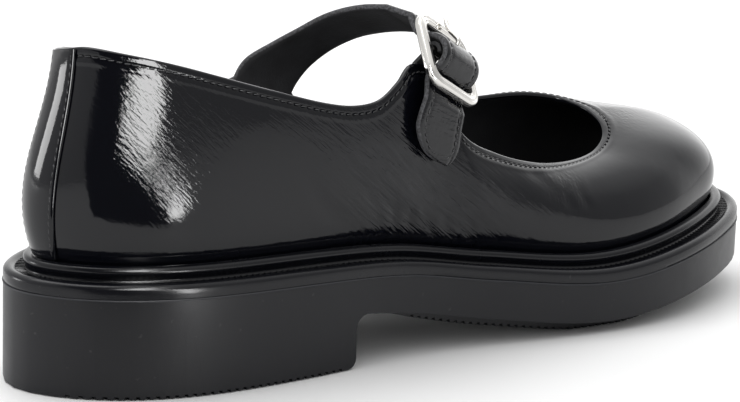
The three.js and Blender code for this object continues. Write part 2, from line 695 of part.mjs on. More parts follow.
// Prong: wire ring round the centre bar with its stem.
function makeProng() {
  const ringRadius = BAR_RADIUS + GAP + PRONG_RADIUS;
  const ring = new THREE.TorusGeometry(ringRadius, PRONG_RADIUS, 10, 20);
  ring.rotateY(Math.PI / 2);
  ring.applyMatrix4(buckleFrame);
  return fromSolid(solid(ring).add(wire(prongPath(), PRONG_RADIUS, 10)));
}

// Buckle tab with a slot for the prong's ring.
function makeTab() {
  const tab = ribbon(finer(tabRows, 2).map((row) => buckleRow(row, TAB_WIDE / 2)), TAB_THICK);
  const slot = new THREE.BoxGeometry(TAB_SLOT, 11, 8.4);
  slot.translate(0, 0.2, 0);
  slot.applyMatrix4(buckleFrame);
  return fromSolid(tab.subtract(solid(slot)));
}

const shoe = new THREE.Group();
shoe.name = 'mary_jane_shoe';

function addPiece(name, geometry, colour) {
  const piece = new THREE.Mesh(geometry, new THREE.MeshStandardMaterial({ color: colour }));
  piece.name = name;
  piece.position.set(-SOLE_LENGTH / 2, 1.6, 0);
  shoe.add(piece);
}

addPiece('outsole', makeOutsole(), 0x202022);
addPiece('welt', makeWelt(), 0x28282a);
addPiece('insole', makeInsole(), 0x3a3230);
addPiece('upper', makeUpper(), 0x303034);
addPiece('backstay', makeBackstay(), 0x404044);

addPiece('strap', makeStrap(), 0x2c2c30);
addPiece('buckle_tab', makeTab(), 0x262628);
addPiece('buckle', makeBuckle(), 0xc8c8c8);
addPiece('buckle_prong', makeProng(), 0xc0c0c0);

export default shoe;
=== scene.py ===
import math

import bpy
import numpy as np
from mathutils import Matrix, Vector


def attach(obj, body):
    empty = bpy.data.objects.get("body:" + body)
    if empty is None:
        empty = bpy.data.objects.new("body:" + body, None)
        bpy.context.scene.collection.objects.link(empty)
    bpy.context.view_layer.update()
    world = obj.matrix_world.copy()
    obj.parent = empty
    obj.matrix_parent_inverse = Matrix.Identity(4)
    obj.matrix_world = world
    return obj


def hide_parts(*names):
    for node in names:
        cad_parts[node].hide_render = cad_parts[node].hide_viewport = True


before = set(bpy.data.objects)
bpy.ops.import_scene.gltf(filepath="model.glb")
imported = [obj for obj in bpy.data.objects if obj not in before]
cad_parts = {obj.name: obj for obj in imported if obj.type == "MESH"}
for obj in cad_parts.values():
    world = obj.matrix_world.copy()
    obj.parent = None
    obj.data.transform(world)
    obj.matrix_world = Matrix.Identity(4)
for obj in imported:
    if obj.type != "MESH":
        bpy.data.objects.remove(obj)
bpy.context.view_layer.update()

# Outsole: heel block and forefoot tread moulded in one piece of black rubber, satin from the mould,
# with fine grooves across the walking faces and a moulded parting line round the wall.
# Sizes are millimetres with x = 0 at the back of the heel; MIDDLE moves them to the shoe's own frame.
MM = 0.001
MIDDLE = np.array([-135.0, 1.6, 0.0])
OUTLINE = [  # x, half width to the outer side, half width to the inner side
    (4, 11.8, 12.2), (12, 21.2, 20.2), (25, 29.9, 27.4), (45, 36.0, 32.4), (65, 37.8, 33.2),
    (90, 37.6, 30.2), (115, 36.6, 28.0), (145, 40.6, 31.0), (175, 46.7, 39.0), (200, 48.9, 44.4),
    (225, 45.2, 45.8), (245, 36.8, 42.0), (260, 26.6, 33.0), (268, 14.0, 19.6),
]
HEEL_BACK = (0.0, -0.6)
TOE_TIP = (270.0, 3.0)
LIP = [  # x, height of the welt's lip
    (0, 33.5), (40, 33.2), (85, 32.1), (115, 29.7), (145, 24.8), (185, 20.3), (230, 24.2), (270, 28.0),
]
TREAD = [  # x, height of the forefoot tread above the floor
    (108, 13.7), (115, 11.6), (123, 9.3), (140, 5.5), (156, 2.9), (168, 1.0), (176, 0),
    (197, 0), (206, 1.1), (222, 3.2), (240, 5.2), (256, 7.0), (270, 8.6),
]
RUBBER_BLACK = "#0a0b11"
GROOVE_PITCH = 2.6
GROOVE_WIDE = 1.1
GROOVE_DEEP = 0.8
HEEL_GROOVES = (8.0, 90.0)
FOREFOOT_GROOVES = (121.0, 254.0)
HEEL_END = 100.0
CUTTER_REACH = 60.0


def smooth_row(rows, column):
    """Smooth curve through one column of a table, against its first column."""
    key = np.array([row[0] for row in rows], float)
    value = np.array([row[column] for row in rows], float)
    low = np.maximum(np.arange(len(key)) - 1, 0)
    high = np.minimum(np.arange(len(key)) + 1, len(key) - 1)
    slope = (value[high] - value[low]) / (key[high] - key[low])

    def curve(t):
        at = np.clip(np.asarray(t, float), key[0], key[-1])
        i = np.clip(np.searchsorted(key, at, side="right") - 1, 0, len(key) - 2)
        span = key[i + 1] - key[i]
        s = (at - key[i]) / span
        h1 = 2 * s**3 - 3 * s**2 + 1
        h2 = s**3 - 2 * s**2 + s
        h4 = s**3 - s**2
        return h1 * value[i] + h2 * span * slope[i] + (1 - h1) * value[i + 1] + h4 * span * slope[i + 1]

    return curve


lip_height = smooth_row(LIP, 1)
tread_height = smooth_row(TREAD, 1)


def closed_walk(points, fine):
    """Fine walk on the closed curve of even curvature through plan points."""
    count = len(points)
    after = np.roll(points, -1, axis=0)
    span = np.linalg.norm(after - points, axis=1)
    before = np.roll(span, 1)
    matrix = np.zeros((count, count))
    for i in range(count):
        matrix[i, i] = 2 * (before[i] + span[i])
        matrix[i, (i - 1) % count] = span[i]
        matrix[i, (i + 1) % count] = before[i]
    back = (points - np.roll(points, 1, axis=0)) * (span / before)[:, None]
    ahead = (after - points) * (before / span)[:, None]
    tangent = np.linalg.solve(matrix, 3 * (back + ahead))
    s = (np.arange(fine) / fine)[None, :, None]
    h1 = 2 * s**3 - 3 * s**2 + 1
    h2 = s**3 - 2 * s**2 + s
    h4 = s**3 - s**2
    wide = span[:, None, None]
    walk = h1 * points[:, None] + h2 * wide * tangent[:, None]
    walk = walk + (1 - h1) * after[:, None] + h4 * wide * np.roll(tangent, -1, axis=0)[:, None]
    return walk.reshape(-1, 2)


outer_side = [(x, -a) for x, a, b in OUTLINE]
inner_side = [(x, b) for x, a, b in OUTLINE][::-1]
sole_points = np.array([HEEL_BACK, *outer_side, TOE_TIP, *inner_side], float)
FINE = 24
sole_walk = closed_walk(sole_points, FINE)
toe_index = (len(OUTLINE) + 1) * FINE
side_walks = [sole_walk[:toe_index + 1], np.vstack([sole_walk[toe_index:], sole_walk[:1]])]
side_lengths = [
    np.concatenate([[0], np.cumsum(np.linalg.norm(np.diff(walk, axis=0), axis=1))]) for walk in side_walks
]


def outline_place(at):
    """Plan points at places round the sole: 0 to 1 along the outer side, 1 to 2 back along the inner."""
    at = np.mod(np.asarray(at, float), 2)
    found = np.zeros(at.shape + (2,))
    for side in (0, 1):
        here = (at >= side) & (at < side + 1)
        want = (at[here] - side) * side_lengths[side][-1]
        for axis in (0, 1):
            found[here, axis] = np.interp(want, side_lengths[side], side_walks[side][:, axis])
    return found


def outward(at):
    """Outward directions in plan."""
    run = outline_place(at + 0.005) - outline_place(at - 0.005)
    out = np.stack([run[..., 1], -run[..., 0]], axis=-1)
    return out / np.linalg.norm(out, axis=-1, keepdims=True)


def wall_place(at, inset, rise):
    """Points inside the sole wall by an inset, at a rise from the lip, in millimetres."""
    plan = outline_place(at) - inset * outward(at)
    return np.dstack([plan[None, :, 0], plan[None, :, 1], lip_height(plan[None, :, 0]) + rise])[0]


def pick(*pieces):
    """Only these pieces are selected, in object mode."""
    if bpy.context.object and bpy.context.object.mode != "OBJECT":
        bpy.ops.object.mode_set(mode="OBJECT")
    bpy.ops.object.select_all(action="DESELECT")
    for piece in pieces:
        piece.select_set(True)
        bpy.context.view_layer.objects.active = piece


def cad_copy(node, name):
    """Loose copy of a CAD node with its triangles joined up."""
    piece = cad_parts[node].copy()
    piece.data = piece.data.copy()
    piece.parent = None
    piece.name = piece.data.name = name
    for key in list(piece.keys()):
        del piece[key]
    bpy.context.scene.collection.objects.link(piece)
    join_up(piece)
    return piece


def finish_with(piece, kind, **settings):
    """Adds one modifier and applies it."""
    pick(piece)
    modifier = piece.modifiers.new(kind.title(), kind)
    for key, value in settings.items():
        setattr(modifier, key, value)
    bpy.ops.object.modifier_apply(modifier=modifier.name)


def smooth(piece, degrees):
    """Smooth shading over every edge flatter than an angle."""
    pick(piece)
    bpy.ops.object.shade_smooth_by_angle(angle=math.radians(degrees))


def skin(name, rows, around, closed_rows=False):
    """A grid laid over rows of points in millimetres, joined up round each row where it closes."""
    rows = np.asarray(rows, float)
    if around:
        rows = np.concatenate([rows, rows[:, :1]], axis=1)
    if closed_rows:
        rows = np.concatenate([rows, rows[:1]], axis=0)
    high, wide = rows.shape[:2]
    pick()
    bpy.ops.mesh.primitive_grid_add(x_subdivisions=wide - 1, y_subdivisions=high - 1, size=1)
    piece = bpy.context.object
    piece.name = piece.data.name = name
    points = (rows + MIDDLE) * MM
    piece.data.vertices.foreach_set("co", points.reshape(-1))
    piece.data.update()
    return piece


def laid_mesh(name, points, faces):
    """An object from points in millimetres and faces."""
    mesh = bpy.data.meshes.new(name)
    mesh.from_pydata(((np.array(points) + MIDDLE) * MM).tolist(), [], faces)
    made = bpy.data.objects.new(name, mesh)
    bpy.context.scene.collection.objects.link(made)
    return made


def face_out(piece):
    """Turns a closed piece inside out where its faces point inward."""
    spots = np.zeros(len(piece.data.vertices) * 3)
    piece.data.vertices.foreach_get("co", spots)
    spots = spots.reshape(-1, 3)
    piece.data.calc_loop_triangles()
    corners = np.zeros(len(piece.data.loop_triangles) * 3, np.int32)
    piece.data.loop_triangles.foreach_get("vertices", corners)
    a, b, c = [spots[corners.reshape(-1, 3)[:, k]] for k in range(3)]
    if np.einsum("ij,ij->i", a, np.cross(b, c)).sum() < 0:
        piece.data.flip_normals()


def join_up(piece):
    """Joins the points of a piece that meet."""
    pick(piece)
    bpy.ops.object.mode_set(mode="EDIT")
    bpy.ops.mesh.select_all(action="SELECT")
    bpy.ops.mesh.remove_doubles(threshold=2e-6)
    bpy.ops.object.mode_set(mode="OBJECT")


def cap_ends(piece):
    """Fills the open ends of a tube."""
    pick(piece)
    bpy.ops.object.mode_set(mode="EDIT")
    bpy.ops.mesh.select_all(action="DESELECT")
    bpy.ops.mesh.select_non_manifold()
    bpy.ops.mesh.fill()
    bpy.ops.object.mode_set(mode="OBJECT")


def hex_colour(text):
    """sRGB hex to a linear colour."""
    parts = [int(text[i:i + 2], 16) / 255 for i in (1, 3, 5)]
    linear = [c / 12.92 if c <= 0.04045 else ((c + 0.055) / 1.055) ** 2.4 for c in parts]
    return (*linear, 1.0)


def new_material(name):
    """An empty material, its node tree and the object's own coordinates."""
    made = bpy.data.materials.new(name)
    made.use_nodes = True
    tree = made.node_tree
    tree.nodes.clear()
    return made, tree, add_node(tree, "ShaderNodeTexCoord").outputs["Object"]


def add_node(tree, kind, settings=None, links=None):
    """Adds a node: small-letter settings are its own, the others are sockets."""
    node = tree.nodes.new(kind)
    for key, value in (settings or {}).items():
        if isinstance(key, str) and key[0].islower():
            setattr(node, key, value)
        else:
            node.inputs[key].default_value = value
    for key, source in (links or {}).items():
        tree.links.new(source, node.inputs[key])
    return node


def moulded_rubber(name, roughness, colour=RUBBER_BLACK):
    """Black rubber from a spark-eroded mould: even satin, dust in the pores and faint smears."""
    made, tree, place = new_material(name)
    grit = add_node(tree, "ShaderNodeTexNoise", {"Scale": 2600.0, "Detail": 2.0}, {"Vector": place})
    cloud = add_node(
        tree, "ShaderNodeTexNoise", {"Scale": 55.0, "Detail": 4.0, "Roughness": 0.62}, {"Vector": place}
    )
    flaw = add_node(tree, "ShaderNodeTexNoise", {"Scale": 420.0, "Detail": 3.0}, {"Vector": place})
    speck = add_node(
        tree, "ShaderNodeMapRange", {"From Min": 0.70, "From Max": 0.76, "To Max": 0.5},
        {"Value": flaw.outputs["Fac"]},
    )
    tint = add_node(
        tree, "ShaderNodeMix", {"data_type": "RGBA", "A": hex_colour(colour), "B": hex_colour("#3a3a3b")},
        {"Factor": speck.outputs[0]},
    )
    rough = add_node(
        tree, "ShaderNodeMapRange",
        {"From Min": 0.3, "From Max": 0.7, "To Min": roughness - 0.05, "To Max": roughness + 0.06},
        {"Value": cloud.outputs["Fac"]},
    )
    bump = add_node(
        tree, "ShaderNodeBump", {"Strength": 1.0, "Distance": 0.00002}, {"Height": grit.outputs["Fac"]}
    )
    wave = add_node(
        tree, "ShaderNodeBump", {"Strength": 1.0, "Distance": 0.00008},
        {"Height": cloud.outputs["Fac"], "Normal": bump.outputs[0]},
    )
    shader = add_node(
        tree, "ShaderNodeBsdfPrincipled", {"IOR": 1.4},
        {"Base Color": tint.outputs["Result"], "Roughness": rough.outputs[0], "Normal": wave.outputs[0]},
    )
    add_node(tree, "ShaderNodeOutputMaterial", links={"Surface": shader.outputs[0]})
    return made


outsole = cad_copy("outsole", "outsole_moulding")
pick(outsole)
bpy.ops.object.mode_set(mode="EDIT")
bpy.ops.mesh.select_all(action="SELECT")
bpy.ops.mesh.dissolve_limited(angle_limit=math.radians(0.5))
bpy.ops.object.mode_set(mode="OBJECT")
finish_with(outsole, "BEVEL", width=0.0006, segments=3, limit_method="ANGLE", angle_limit=math.radians(50))

BOX_FACES = ((0, 3, 2, 1), (4, 5, 6, 7), (0, 1, 5, 4), (1, 2, 6, 5), (2, 3, 7, 6), (3, 0, 4, 7))
groove_points = []
groove_faces = []
for x in [*np.arange(*HEEL_GROOVES, GROOVE_PITCH), *np.arange(*FOREFOOT_GROOVES, GROOVE_PITCH)]:
    roof = GROOVE_DEEP + (0.0 if x < HEEL_END else float(tread_height(x)))
    start = len(groove_points)
    for z in (-2.0, roof):
        for end_x, end_y in ((-1, -1), (1, -1), (1, 1), (-1, 1)):
            groove_points.append((x + end_x * GROOVE_WIDE / 2, end_y * CUTTER_REACH, z))
    for face in BOX_FACES:
        groove_faces.append([start + k for k in face])
cutter = laid_mesh("tread_groove_cutter", groove_points, groove_faces)
finish_with(outsole, "BOOLEAN", operation="DIFFERENCE", object=cutter, solver="EXACT")
bpy.data.objects.remove(cutter)
smooth(outsole, 34)
finish_with(outsole, "WEIGHTED_NORMAL", mode="FACE_AREA", weight=100, keep_sharp=True)
outsole.data.materials.clear()
outsole.data.materials.append(moulded_rubber("moulded_satin_rubber", 0.36))
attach(outsole, "root")
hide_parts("outsole")

# Storm welt: a softer strip of the same rubber, moulded with a rounded lip, a ribbed groove and a glossy
# bead that hugs the upper. It is cemented over the outsole along the fine raised parting line.
WELT_SECTION = [  # inset from the sole wall, rise from the lip
    (9.4, -1.8), (9.4, 2.7), (9.2, 3.2), (8.6, 3.55), (7.6, 3.65), (6.7, 3.55), (6.15, 3.25), (5.8, 2.75),
    (5.65, 2.2), (5.75, 1.6), (6.1, 1.0), (6.5, 0.3), (6.6, -0.4), (6.2, -0.95), (5.4, -1.15), (4.0, -1.1),
    (3.4, -0.8), (2.9, -0.35), (2.1, 0.0), (1.3, -0.1), (0.7, -0.4), (0.2, -0.9), (0.0, -1.5), (0.0, -2.9),
    (0.0, -4.1), (0.3, -4.35),
]
WELT_STATIONS = 440
GROOVE_RIBS = 300
PARTING_RISE = -4.5

round_shoe = np.arange(WELT_STATIONS) * 2 / WELT_STATIONS
welt_rows = [wall_place(round_shoe, inset, rise) for inset, rise in WELT_SECTION]
welt = skin("welt_strip", welt_rows, True)
join_up(welt)
cap_ends(welt)
face_out(welt)
smooth(welt, 50)
welt.data.materials.append(moulded_rubber("moulded_glossy_rubber", 0.24))

rib_places = (np.arange(GROOVE_RIBS) + 0.5) * 2 / GROOVE_RIBS
rib_half = 0.35 / side_lengths[0][-1]
rib_points = []
rib_faces = []
for place in rib_places:
    start = len(rib_points)
    for shift, inset, rise in (
        (-1, 3.2, -1.15), (1, 3.2, -1.15), (1, 6.3, -1.2), (-1, 6.3, -1.2),
        (-0.4, 3.5, -0.6), (0.4, 3.5, -0.6), (0.4, 6.3, -0.65), (-0.4, 6.3, -0.65),
    ):
        rib_points.append(wall_place(np.array([place + shift * rib_half]), inset, rise)[0])
    for face in BOX_FACES:
        rib_faces.append([start + k for k in face])
welt_ribs = laid_mesh("welt_groove_ribs", rib_points, rib_faces)
welt_ribs.data.materials.append(welt.data.materials[0])

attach(welt, "root")
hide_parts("welt")
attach(welt_ribs, "root")


def loop_cord(name, centres, radius, sides):
    """Closed round bead along a loop of points in millimetres."""
    after = np.roll(centres, -1, axis=0)
    run = after - np.roll(centres, 1, axis=0)
    run /= np.linalg.norm(run, axis=1, keepdims=True)
    side = np.cross(run, [0, 0, 1.0])
    side /= np.linalg.norm(side, axis=1, keepdims=True)
    up = np.cross(side, run)
    rows = []
    for k in range(sides):
        turn = 2 * math.pi * k / sides
        rows.append(centres + radius * (math.cos(turn) * side + math.sin(turn) * up))
    made = skin(name, rows, True, True)
    join_up(made)
    face_out(made)
    smooth(made, 80)
    return made


parting = loop_cord("sole_parting_line", wall_place(round_shoe, 0.04, PARTING_RISE), 0.27, 8)
# The cord's rubber is painted lighter grey than the sole: a painted highlight along the parting line.
parting.data.materials.append(moulded_rubber("flash_rubber_painted_highlight", 0.5, "#2e2f33"))
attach(parting, "root")

# Insole: a cushioned footbed on the welt's seat, covered in dark lining leather with a soft edge.
LINING_GREY = "#26262a"


def lining_leather(name, colour):
    """Drummed pigskin lining: matt, with paired pores about a millimetre apart."""
    made, tree, place = new_material(name)
    pore = add_node(tree, "ShaderNodeTexVoronoi", {"Scale": 900.0}, {"Vector": place})
    haze = add_node(tree, "ShaderNodeTexNoise", {"Scale": 90.0, "Detail": 5.0}, {"Vector": place})
    height = add_node(tree, "ShaderNodeMapRange", {"From Max": 0.45}, {"Value": pore.outputs["Distance"]})
    cloudy = add_node(
        tree, "ShaderNodeMapRange", {"From Min": 0.3, "From Max": 0.7}, {"Value": haze.outputs["Fac"]}
    )
    bump = add_node(
        tree, "ShaderNodeBump", {"Strength": 1.0, "Distance": 0.00006}, {"Height": height.outputs[0]}
    )
    tint = add_node(
        tree, "ShaderNodeMix", {"data_type": "RGBA", "A": hex_colour("#17171a"), "B": hex_colour(colour)},
        {"Factor": cloudy.outputs[0]},
    )
    shader = add_node(
        tree, "ShaderNodeBsdfPrincipled", {"Roughness": 0.7, "IOR": 1.45},
        {"Base Color": tint.outputs["Result"], "Normal": bump.outputs[0]},
    )
    add_node(tree, "ShaderNodeOutputMaterial", links={"Surface": shader.outputs[0]})
    return made


insole = cad_copy("insole", "insole_footbed")
finish_with(insole, "BEVEL", width=0.0011, segments=3, limit_method="ANGLE", angle_limit=math.radians(50))
smooth(insole, 50)
insole.data.materials.clear()
insole.data.materials.append(lining_leather("pigskin_lining", LINING_GREY))
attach(insole, "root")
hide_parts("insole")

# Upper: vamp and quarters of black patent leather pulled over the last in one hollow shell, lined inside
# and folded over at the top line. The lacquer shows fine wrinkles, pleats and the soft creases of lasting.
UPPER_RIBS = [  # place, top line x, y, z, handle at the crease out, rise, handle at the top lean, drop
    (0, 16.05, -0.8, 96.9, 9.2, 22.6, 1.9, 23.9), (0.055, 18.3, -8.6, 98.2, 9.1, 22.6, 1.6, 23.9),
    (0.115, 25.1, -15.8, 97.1, 7.8, 20.5, 2.4, 21.9), (0.2, 40.1, -23.8, 93.5, 5.65, 18.2, 3.6, 20),
    (0.3, 69, -29.8, 84.6, 4.4, 16, 3.6, 17), (0.375, 91.5, -31.9, 78.5, 5.2, 15, 2.6, 16),
    (0.405, 103.2, -32.4, 78.6, 5.6, 15, 2.4, 15), (0.43, 111.2, -32.2, 83.6, 6, 15, 3, 15),
    (0.45, 117.8, -29.8, 87.9, 6.2, 15, 4.6, 14), (0.47, 126.8, -27.6, 85.4, 6.4, 15, 5.2, 12),
    (0.49, 132.4, -28.8, 76, 6.4, 14, 4.4, 12), (0.52, 137, -31.8, 65.2, 6.2, 14, 3.4, 11),
    (0.58, 152, -30, 57.4, 5.2, 13, 5.2, 8), (0.64, 170, -27, 51.9, 4.4, 13, 8.4, 5),
    (0.7, 187, -22.2, 49.4, 3.6, 14, 11.5, 2), (0.77, 201, -17, 49.2, 3.1, 14.9, 14.9, -1),
    (0.84, 210.5, -12, 51.6, 3.9, 15.3, 18.4, -1.5), (0.92, 216.6, -5, 54.8, 8.2, 17.8, 24.3, -0.7),
    (1, 219, 3, 57.3, 10.5, 20.6, 29, 0.2), (1.08, 218.4, 10, 59, 8.9, 19.2, 25.4, 2.9),
    (1.16, 214, 17, 60.6, 6.7, 18, 20, 3.2), (1.23, 206, 22.4, 61.3, 4.7, 16.8, 15.8, 3),
    (1.3, 194, 26.4, 60.8, 3.7, 15.8, 11.8, 4.5), (1.38, 172, 28.8, 60.4, 6.4, 16, 7, 9),
    (1.48, 140, 29.6, 61.4, 8.6, 15, 3.6, 13), (1.535, 119.6, 29.6, 66.4, 8.8, 15, 2.8, 15),
    (1.56, 114.6, 28.6, 71.6, 8.6, 15, 3.4, 14), (1.58, 109.6, 27.6, 76.6, 8.4, 15, 4, 14),
    (1.605, 102.2, 26.8, 79.8, 8, 15, 4.2, 14), (1.63, 96.4, 27.4, 77.6, 7.6, 15, 3.4, 15),
    (1.66, 89, 27.8, 75.8, 7, 16, 2.8, 16), (1.72, 71, 26.8, 81.8, 5.4, 17, 3.6, 17),
    (1.81, 42.1, 22, 90, 5.85, 19.2, 4, 20), (1.885, 25.9, 15.4, 93.8, 7.8, 20.5, 2.2, 21.9),
    (1.945, 18.3, 8, 95.4, 9.1, 21.6, 1.6, 22.9),
]
UPPER_INSET = 9.8
UPPER_WALL = 1.8
CREASE_RISE = 3.0
UPPER_STATIONS = 560
OUTER_ROWS = 84
INNER_ROWS = 22
EDGE_STITCH_IN = 2.6
STITCH_TROUGH = 0.24
PATENT_BLACK = "#08090f"
# The lighter lacquer tint: random wear on the backstay, and a painted crease highlight on the raised fan
# streaks of the upper.
PATENT_WEAR_AND_CREASE_SHEEN = "#16171b"

looped = [(row[0] - 2, *row[1:]) for row in UPPER_RIBS[-3:]]
looped += UPPER_RIBS + [(row[0] + 2, *row[1:]) for row in UPPER_RIBS[:3]]
rib_curve = [smooth_row(looped, column) for column in range(1, 8)]


def upper_face(at, up):
    """Outer face of the upper: place round the shoe and height, 0 at the crease to 1 at the top line."""
    at, up = np.broadcast_arrays(np.asarray(at, float), np.asarray(up, float))
    wrapped = np.mod(at, 2)
    out = outward(at)
    side = np.stack([out[..., 0], out[..., 1], np.zeros(at.shape)], axis=-1)
    plan = outline_place(at) - UPPER_INSET * out
    foot = np.stack([plan[..., 0], plan[..., 1], lip_height(plan[..., 0]) + CREASE_RISE], axis=-1)
    tx, ty, tz, reach, rise, lean, drop = [curve(wrapped) for curve in rib_curve]
    top = np.stack([tx, ty, tz], axis=-1)
    low = foot + side * reach[..., None] + np.stack([0 * rise, 0 * rise, rise], axis=-1)
    high = top + side * lean[..., None] - np.stack([0 * drop, 0 * drop, drop], axis=-1)
    t = up[..., None]
    k = 1 - t
    return k**3 * foot + 3 * k * k * t * low + 3 * k * t * t * high + t**3 * top


def face_normal(at, up):
    along = upper_face(at + 0.004, up) - upper_face(at - 0.004, up)
    rise = upper_face(at, np.minimum(1, up + 0.02)) - upper_face(at, np.maximum(0, up - 0.02))
    normal = np.cross(along, rise)
    return normal / np.linalg.norm(normal, axis=-1, keepdims=True)


CREASES = [  # on the outer side: start x, z and end x, z, half width, depth
    (96, 70, 121, 50, 2.4, 0.16), (104, 66, 134, 44, 2.2, 0.20), (112, 66, 138, 49, 1.8, 0.14),
    (86, 64, 118, 40, 2.6, 0.14), (98, 56, 128, 36, 2.0, 0.14), (120, 58, 146, 42, 2.0, 0.16),
    (74, 60, 100, 40, 2.6, 0.10), (126, 52, 152, 38, 2.2, 0.14), (110, 48, 116, 34, 1.3, 0.16),
    (118, 47, 122, 32, 1.2, 0.18), (104, 46, 111, 34, 1.2, 0.12), (132, 42, 134, 31, 1.1, 0.16),
    (140, 40, 141, 30, 1.1, 0.12), (126, 41, 129, 31, 1.1, 0.18), (148, 46, 170, 38, 3.0, 0.12),
    (175, 46, 178, 36, 1.6, 0.14), (181, 45, 185, 36, 1.5, 0.12), (160, 50, 176, 42, 2.0, 0.12),
    (133, 78, 135, 66, 1.2, 0.14), (108, 72, 126, 62, 1.6, 0.12),
]


def crease_depth(points):
    """Depth of the soft troughs, each with a low ridge beside it, at points of the outer side."""
    depth = np.zeros(points.shape[:-1])
    outer = np.clip(-points[..., 1] / 8.0, 0, 1)
    for x1, z1, x2, z2, wide, deep in CREASES:
        run = np.array([x2 - x1, z2 - z1], float)
        length = np.linalg.norm(run)
        run /= length
        dx = points[..., 0] - x1
        dz = points[..., 2] - z1
        t = (dx * run[0] + dz * run[1]) / length
        sway = 0.6 * wide * np.sin(t * 5.0 + x1)
        s = dx * -run[1] + dz * run[0] + sway
        fade = np.exp(-((t - 0.5) / 0.34) ** 4)
        trough = np.exp(-((s / wide) ** 2)) - 0.55 * np.exp(-(((s - 1.9 * wide) / (1.2 * wide)) ** 2))
        depth += 1.7 * deep * fade * trough
    return depth * outer


def feather_pleats(points, rise):
    """Short gathers of the leather where it turns in at the waist."""
    x = points[..., 0]
    y = points[..., 1]
    zone = np.exp(-(((x - 122) / 26) ** 4)) * np.clip(-y / 8.0, 0, 1)
    zone += 0.5 * np.exp(-(((x - 120) / 24) ** 4)) * np.clip(y / 8.0, 0, 1)
    gather = np.sin(x * 2.35 + 1.3 * np.sin(x * 0.61)) + 0.6 * np.sin(x * 3.9 + 0.8)
    reach = 4.4 + 1.8 * np.sin(x * 0.83 + 0.4)
    return 0.26 * zone * gather * np.exp(-((rise / reach) ** 2))


stations = np.arange(UPPER_STATIONS) * 2 / UPPER_STATIONS
TOP_ROUND = UPPER_WALL / 2
top_pull = 3 * np.hypot(rib_curve[5](stations), rib_curve[6](stations))
top_up = 1 - TOP_ROUND / top_pull
outer_rows = []
for k in range(OUTER_ROWS + 1):
    share = math.sin(0.5 * math.pi * k / OUTER_ROWS) ** 0.8
    up = share * top_up
    face = upper_face(stations, up)
    normal = face_normal(stations, up)
    rise = face[:, 2] - lip_height(face[:, 0]) - CREASE_RISE
    calm = np.clip((1 - share) / 0.06, 0, 1)
    from_edge = (1 - up) * top_pull
    seam = STITCH_TROUGH * np.exp(-(((from_edge - EDGE_STITCH_IN) / 0.42) ** 2))
    roll = 0.14 * np.exp(-(((from_edge - 4.3) / 0.8) ** 2))
    move = roll - seam - crease_depth(face) * calm + feather_pleats(face, rise)
    outer_rows.append(face + normal * move[:, None])
rim_base = upper_face(stations, top_up)
rim_normal = face_normal(stations, top_up)
rim_up = upper_face(stations, 1.0) - rim_base
rim_up /= np.linalg.norm(rim_up, axis=1, keepdims=True)
rim_rows = []
for degrees in (25, 50, 75, 100, 125, 150):
    turn = math.radians(degrees)
    rim_rows.append(
        rim_base - rim_normal * (TOP_ROUND * (1 - math.cos(turn))) + rim_up * (TOP_ROUND * math.sin(turn))
    )
inner_rows = []
for k in range(INNER_ROWS + 1):
    up = (1 - k / INNER_ROWS) * top_up
    inner_rows.append(upper_face(stations, up) - face_normal(stations, up) * UPPER_WALL)
foot_out = wall_place(stations, UPPER_INSET, -1.5)
foot_in = wall_place(stations, UPPER_INSET + UPPER_WALL, -1.5)
upper = skin("upper_shell", [foot_out, *outer_rows, *rim_rows, *inner_rows, foot_in], True, True)
rows_before_rim = 1 + OUTER_ROWS
lining_from = rows_before_rim + len(rim_rows)
flat = np.zeros(len(upper.data.polygons), np.int32)
flat[lining_from * UPPER_STATIONS:] = 1
upper.data.polygons.foreach_set("material_index", flat)

spots = np.zeros(len(upper.data.vertices) * 3)
upper.data.vertices.foreach_get("co", spots)
spots = spots.reshape(-1, 3) / MM - MIDDLE
outer_only = np.clip(-spots[:, 1] / 8.0, 0, 1)


def patch(cx, cz, wide, high, tilt):
    """Soft oval patch on the side of the shoe, leaning by a tilt."""
    dx = spots[:, 0] - cx
    dz = spots[:, 2] - cz
    c = math.cos(math.radians(tilt))
    s = math.sin(math.radians(tilt))
    return np.exp(-(((dx * c + dz * s) / wide) ** 2 + ((dz * c - dx * s) / high) ** 2) ** 1.5)


def mark(name, values):
    field = upper.data.attributes.new(name, "FLOAT", "POINT")
    field.data.foreach_set("value", np.asarray(values, np.float32))


crinkle = patch(34, 76, 17, 24, 0) + 0.35 * patch(46, 70, 18, 24, 0)
mark("crinkle", np.clip(crinkle, 0, 1))
fan = patch(112, 56, 40, 17, -28) + 0.5 * patch(150, 44, 26, 9, -20)
mark("fan", np.clip(fan * (0.4 + 0.6 * outer_only), 0, 1))
radial = patch(176, 44, 9, 8, 0) * outer_only + np.exp(
    -(((spots[:, 0] - 226) / 9) ** 2 + ((spots[:, 1] - 0) / 12) ** 2)
)
mark("throat", np.clip(radial, 0, 1))
join_up(upper)
face_out(upper)
smooth(upper, 70)


def streaks(tree, place, long, wide, thin, turn, detail):
    """Noise drawn out into streaks: cell sizes in millimetres, turned about the shoe's width."""
    laid = add_node(
        tree, "ShaderNodeMapping",
        {"vector_type": "TEXTURE", "Rotation": (0, math.radians(turn), 0),
         "Scale": (long * MM, wide * MM, thin * MM)},
        {"Vector": place},
    )
    return add_node(
        tree, "ShaderNodeTexNoise", {"Scale": 1.0, "Detail": detail, "Roughness": 0.55, "Distortion": 0.25},
        {"Vector": laid.outputs[0]},
    ).outputs["Fac"]


VAMP_LINES = [  # field, cell length, width and height in mm, turn in degrees, detail, depth in metres
    ("crinkle", 4.6, 2.2, 0.85, 48, 3.0, 0.00012), ("fan", 13.0, 6.0, 1.3, 38, 3.0, 0.00045),
    ("throat", 1.1, 1.6, 7.0, 4, 2.0, 0.00018), ("fan", 9.0, 6.0, 0.9, 42, 2.0, 0.00012),
]


